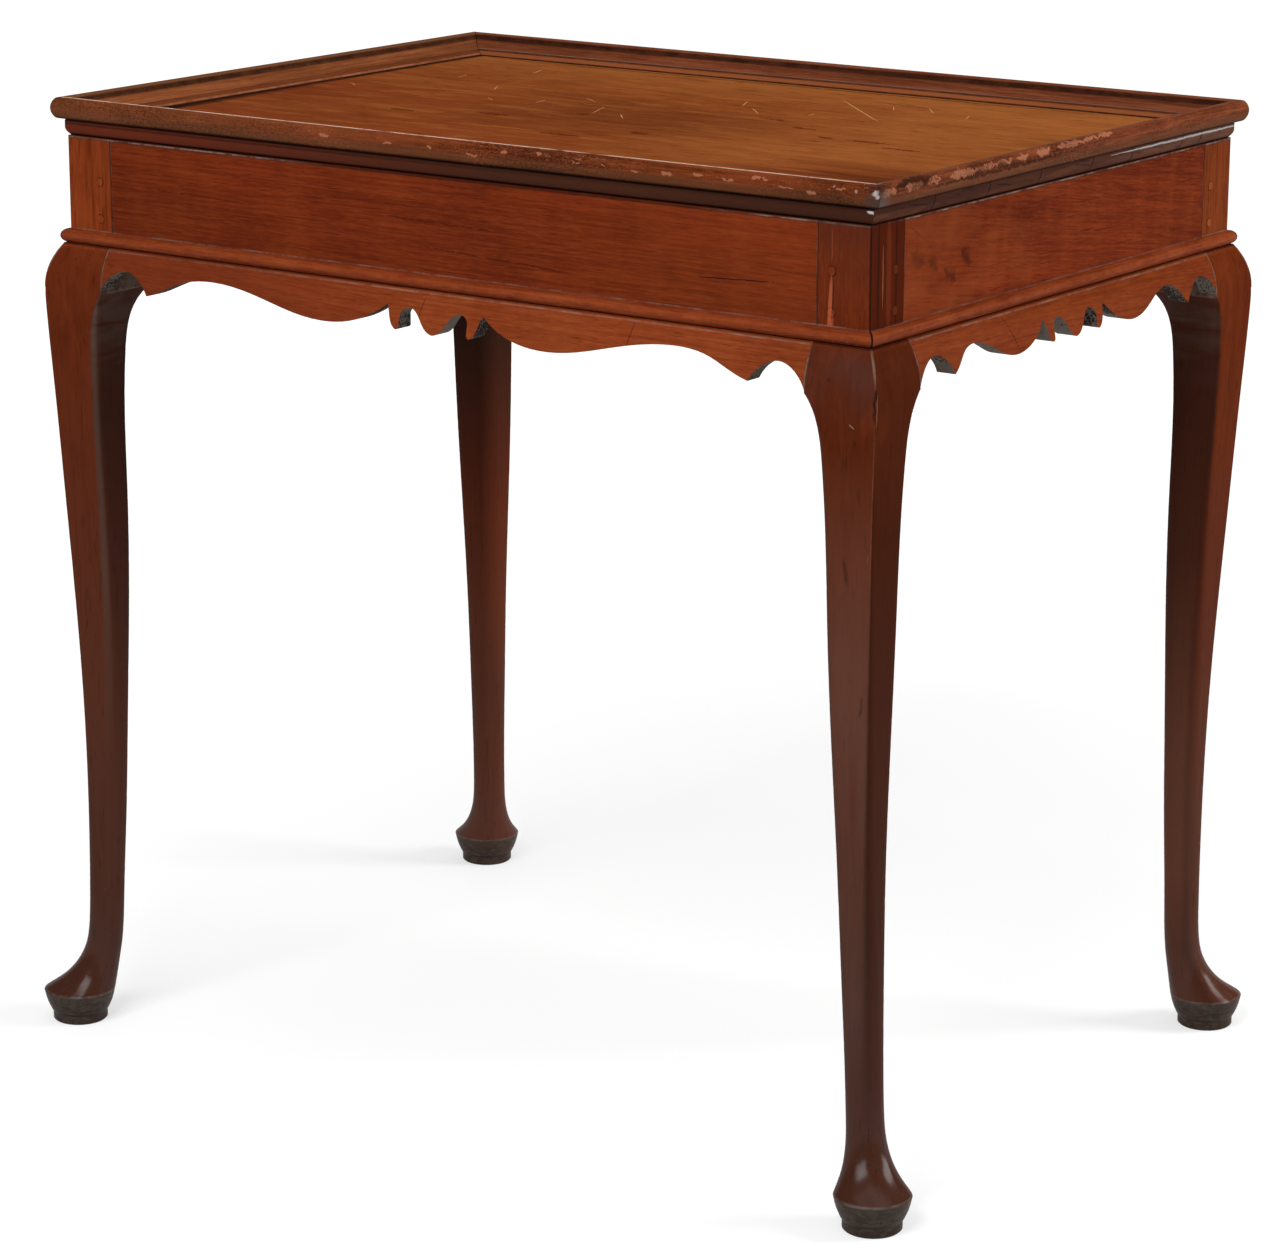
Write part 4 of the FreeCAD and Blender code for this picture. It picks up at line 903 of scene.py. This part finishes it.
def mark_near_leg(wood):
    """Splits, streaks and bruises of the leg nearest the room, with painted shade and painted sheen on it."""
    front = -face_y
    peg_x = seam_x + PEG_INSET
    wood.stroke((peg_x, front, 0.6560), (peg_x, front, 0.6330), 1.2 * MM, RUBBED_RED, 0.5, 1.2 * MM)
    streak_below_peg(wood)
    # Purple-brown towards the top of the post's front.
    purple = wood.both(wood.towards("Y", -1), wood.region(wood.z, 0.600, 0.655))
    wood.tint(wood.both(purple, wood.cloud((40.0, 40.0, 16.0), 0.25, 0.60)), PURPLE_BROWN, 0.60)
    # The return face is darker, as painted shade, with light streaks down it; the leg below it is darker too,
    # most beside the arris, as painted shade.
    return_face = wood.both(wood.towards("X", 1), wood.region(wood.z, bead_top - 2 * MM, bead_top))
    wood.tint(return_face, MAHOGANY_DARK, 0.82)
    high, low = 0.670, 0.585              # past both ends of the post's face
    wood.stroke((face_x, -0.2170, high), (face_x, -0.2165, low), 7 * MM, RUSSET, 0.55, 2.0 * MM)
    wood.stroke((face_x, -0.2080, high), (face_x, -0.2080, low), 3 * MM, SOOT_AND_SHADOW, 0.55, 1.5 * MM)
    wood.stroke((face_x, -0.2238, 0.646), (face_x, -0.2236, 0.606), 0.8 * MM, PALE_SCRATCH, 0.38, 0.6 * MM)
    wood.stroke((face_x, -0.2290, high), (face_x, -0.2290, low), 3.0 * MM, SOOT_AND_SHADOW, 0.60, 1.0 * MM)
    wood.stroke((face_x, front, 0.6800), (face_x, front, 0.5800), 2.6 * MM, SOOT_AND_SHADOW, 0.75, 0.6 * MM)
    below = wood.both(wood.region(wood.z, bead_bottom, bead_bottom - 4 * MM), wood.region(wood.z, 0.05, 0.20))
    outward = wood.both(below, wood.region(wood.slope("X"), 0.45, 0.75))
    wood.tint(outward, LEG_SHADE, 0.34)
    wood.tint(wood.both(outward, wood.region(wood.z, 0.54, 0.46)), KNEE_SHADE, 0.45)
    beside_arris = wood.between(wood.slope("X"), 0.30, 0.55, 0.70, 0.90)
    wood.tint(wood.both(beside_arris, below), ARRIS_SHADE, 0.45)
    # Painted grey sheen over the crown of the knee and down the middle of the front, and a lighter painted
    # sheen on the thigh.
    forward = wood.region(wood.slope("Y", -1), 0.70, 0.95)
    crown_sheen = wood.both(forward, below, wood.region(wood.z, 0.535, 0.565),
                      wood.cloud((40.0, 40.0, 18.0), 0.30, 0.60))
    wood.tint(crown_sheen, KNEE_SHEEN, 0.70)
    shank_sheen = wood.both(forward, wood.between(wood.z, 0.06, 0.14, 0.38, 0.48))
    wood.tint(wood.both(shank_sheen, wood.cloud((70.0, 70.0, 3.0), 0.30, 0.60)), GREY_BLOOM_AND_SHEEN, 0.10)
    thigh = wood.both(forward, wood.between(wood.z, 0.24, 0.34, 0.46, 0.52))
    wood.tint(thigh, THIGH_SHEEN, 0.18)
    # Bruises of the knee, the arris broken below its crest, and a painted highlight down the arris below
    # that.
    wood.front_mark((0.3115, 0.5640), (0.3110, 0.5610), 4.0 * MM, SOOT_AND_SHADOW, 0.5, 2.0 * MM, core=0.0,
                    within=forward)
    wood.front_mark((0.3275, 0.5365), (0.3315, 0.5335), 1.0 * MM, DUST_AND_SHEEN, 0.60, 1.5 * MM, within=forward)
    chance = random.Random(KNEE_SEED)
    for x in spread(6, face_x - 29 * MM, face_x + 8 * MM):
        top_z = chance.uniform(0.555, 0.578)
        low_z = top_z - chance.uniform(28, 56) * MM
        wood.front_mark((x, top_z), (x + 1 * MM, low_z), 5.0 * MM, MAHOGANY_DARK, 0.34, 5.0 * MM, core=-0.3)
    wood.stroke((0.3462, -0.2512, 0.5660), (0.3470, -0.2520, 0.5370), 3.6 * MM, SOOT_AND_SHADOW, 0.80, 5.0 * MM,
                core=0.3)
    wood.stroke((0.3470, -0.2500, 0.5640), (0.3472, -0.2505, 0.5340), 1.4 * MM, BARE_WOOD, 0.50, 3.0 * MM)
    wood.stroke((0.3440, -0.2520, 0.5200), (0.3370, -0.2460, 0.4100), 1.8 * MM, ARRIS_HIGHLIGHT, 0.55, 2.0 * MM)
    for start, finish in (((0.322, 0.450), (0.324, 0.430)), ((0.334, 0.360), (0.333, 0.345))):
        wood.front_mark(start, finish, 3.0 * MM, SOOT_AND_SHADOW, 0.4, 3 * MM, within=forward)


def peg_finish(corner):
    """Peg ends, a little lighter and duller than the post."""
    lighter = 0.06
    middle = tuple(post * (1 - lighter) + light * lighter
                   for post, light in zip(POST_WOOD[corner], CHERRY_LIGHT))
    wood = Finish(f"peg_wood_{corner}", "Z", (MAHOGANY_DARK, middle, CHERRY_LIGHT), cloud=0.5, figure=0.2,
                  fibre=0.4, roughness=0.5)
    wood.speckle(1.2 * MM, 0.5, SOOT_AND_SHADOW, 0.6)
    if corner == "front_right":
        # Painted shade: the peg on the return face darkened with it.
        wood.tint(wood.towards("X", 1), PEG_SHADE, 0.80)
        streak_below_peg(wood)
    return wood.done(soft_edge=0.8 * MM)


def block_finish():
    """Plain unfinished wood of the glue blocks."""
    wood = Finish("block_wood", "X", (RAW_DARK, RAW, RAW_LIGHT), cloud=0.5, figure=0.4, fibre=0.5,
                  roughness=0.7)
    return wood.done(specular=0.1)


def dress(node, material):
    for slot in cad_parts[node].material_slots:
        slot.material = material


def dress_table():
    dress("tray_board", board_finish())
    for side in SIDES:
        dress(f"rim_moulding_{side}", rim_finish(side))
        dress(f"rail_{side}", rail_finish(side))
        dress(f"apron_{side}", apron_finish(side))
        dress(f"bead_{side}", bead_finish(side))
    for corner in CORNERS:
        dress(f"leg_{corner}", leg_finish(corner))
        dress(f"pegs_{corner}", peg_finish(corner))
    blocks = block_finish()
    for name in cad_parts:
        if name.startswith("glue_block"):
            dress(name, blocks)


# ---------------------------------------------------------------- studio and camera
CAMERA_PLACE = (1.6910, -2.4182, 1.0817)
CAMERA_TURN = (1.312295, -0.003094, 0.613218)
CAMERA_LENS = 118.35


def place_camera():
    data = bpy.data.cameras.new("camera")
    data.sensor_width = 36.0
    data.lens = CAMERA_LENS
    data.clip_end = 80.0
    camera = bpy.data.objects.new("camera", data)
    camera.location = CAMERA_PLACE
    camera.rotation_euler = CAMERA_TURN
    bpy.context.scene.collection.objects.link(camera)
    bpy.context.scene.camera = camera


def seen_ray(tree):
    """1 for rays that show the surroundings: from the camera, a gloss or a glass."""
    rays = add(tree, "ShaderNodeLightPath").outputs
    shown = maths(tree, "ADD", rays["Is Camera Ray"], rays["Is Glossy Ray"])
    return maths(tree, "ADD", shown, rays["Is Transmission Ray"], clamp=True)


FLOOR_WHITE = (0.72, 0.72, 0.72, 1.0)
FLOOR_SHADED = (0.45, 0.45, 0.45, 1.0)
NEAR_GLOW = 0.585
FAR_GLOW = 0.93


def lay_floor():
    """White floor that keeps the table's shadow."""
    bpy.ops.mesh.primitive_circle_add(vertices=96, radius=40.0, fill_type="NGON", location=(0, 0, 0))
    floor = bpy.context.object
    floor.name = "floor"
    material = bpy.data.materials.new("floor_white")
    material.use_nodes = True
    tree = material.node_tree
    tree.nodes.clear()
    lit = add(tree, "ShaderNodeBsdfDiffuse", {"Color": FLOOR_SHADED}).outputs[0]
    bounced = add(tree, "ShaderNodeBsdfDiffuse", {"Color": FLOOR_WHITE}).outputs[0]
    place = add(tree, "ShaderNodeTexCoord").outputs["Object"]
    distance = vector_maths(tree, "LENGTH", place).outputs["Value"]
    strength = ramp(tree, distance, 0.5, 3.0, NEAR_GLOW, FAR_GLOW)
    glow = add(tree, "ShaderNodeEmission", {"Color": (1, 1, 1, 1), "Strength": strength}).outputs[0]
    both = add(tree, "ShaderNodeAddShader", {0: lit, 1: glow}).outputs[0]
    mixed = add(tree, "ShaderNodeMixShader", {0: seen_ray(tree), 1: bounced, 2: both}).outputs[0]
    output = add(tree, "ShaderNodeOutputMaterial")
    tree.links.new(mixed, output.inputs["Surface"])
    floor.data.materials.append(material)


CEILING_SHOWN = 0.10
ROOM_LIGHT = 0.21


def light_world():
    """Even light all round; what is seen of it is a white backdrop below a dim ceiling."""
    world = bpy.data.worlds.new("studio")
    bpy.context.scene.world = world
    world.use_nodes = True
    tree = world.node_tree
    tree.nodes.clear()
    direction = add(tree, "ShaderNodeTexCoord").outputs["Generated"]
    height = add(tree, "ShaderNodeSeparateXYZ", {0: direction}).outputs[2]
    shown = ramp(tree, height, 0.15, 0.22, 1.0, CEILING_SHOWN)
    strength = ramp(tree, seen_ray(tree), 0.0, 1.0, ROOM_LIGHT, shown)
    background = add(tree, "ShaderNodeBackground", {"Color": (1, 1, 1, 1), "Strength": strength})
    output = add(tree, "ShaderNodeOutputWorld")
    tree.links.new(background.outputs[0], output.inputs["Surface"])


def softbox(name, place, aim, width, height, watts):
    """Rectangular soft lamp at a place, turned to face a point."""
    data = bpy.data.lights.new(name, "AREA")
    data.shape = "RECTANGLE"
    data.size = width
    data.size_y = height
    data.energy = watts
    lamp = bpy.data.objects.new(name, data)
    lamp.location = place
    away = [here - there for here, there in zip(place, aim)]
    flat = math.hypot(away[0], away[1])
    lamp.rotation_euler = (math.atan2(flat, away[2]), 0.0, math.atan2(away[1], away[0]) + math.pi / 2)
    bpy.context.scene.collection.objects.link(lamp)


def light_studio():
    middle = (0.0, 0.0, 0.45)
    softbox("front_softbox", (0.25, -2.30, 2.50), middle, 1.8, 1.2, 74.0)
    softbox("side_softbox", (2.10, 1.30, 1.50), middle, 1.0, 1.3, 52.0)
    softbox("overhead_softbox", (0.0, 0.2, 3.0), middle, 2.2, 2.2, 26.0)


place_camera()
lay_floor()
light_world()
light_studio()
dress_table()

bpy.context.scene.view_settings.view_transform = "Standard"
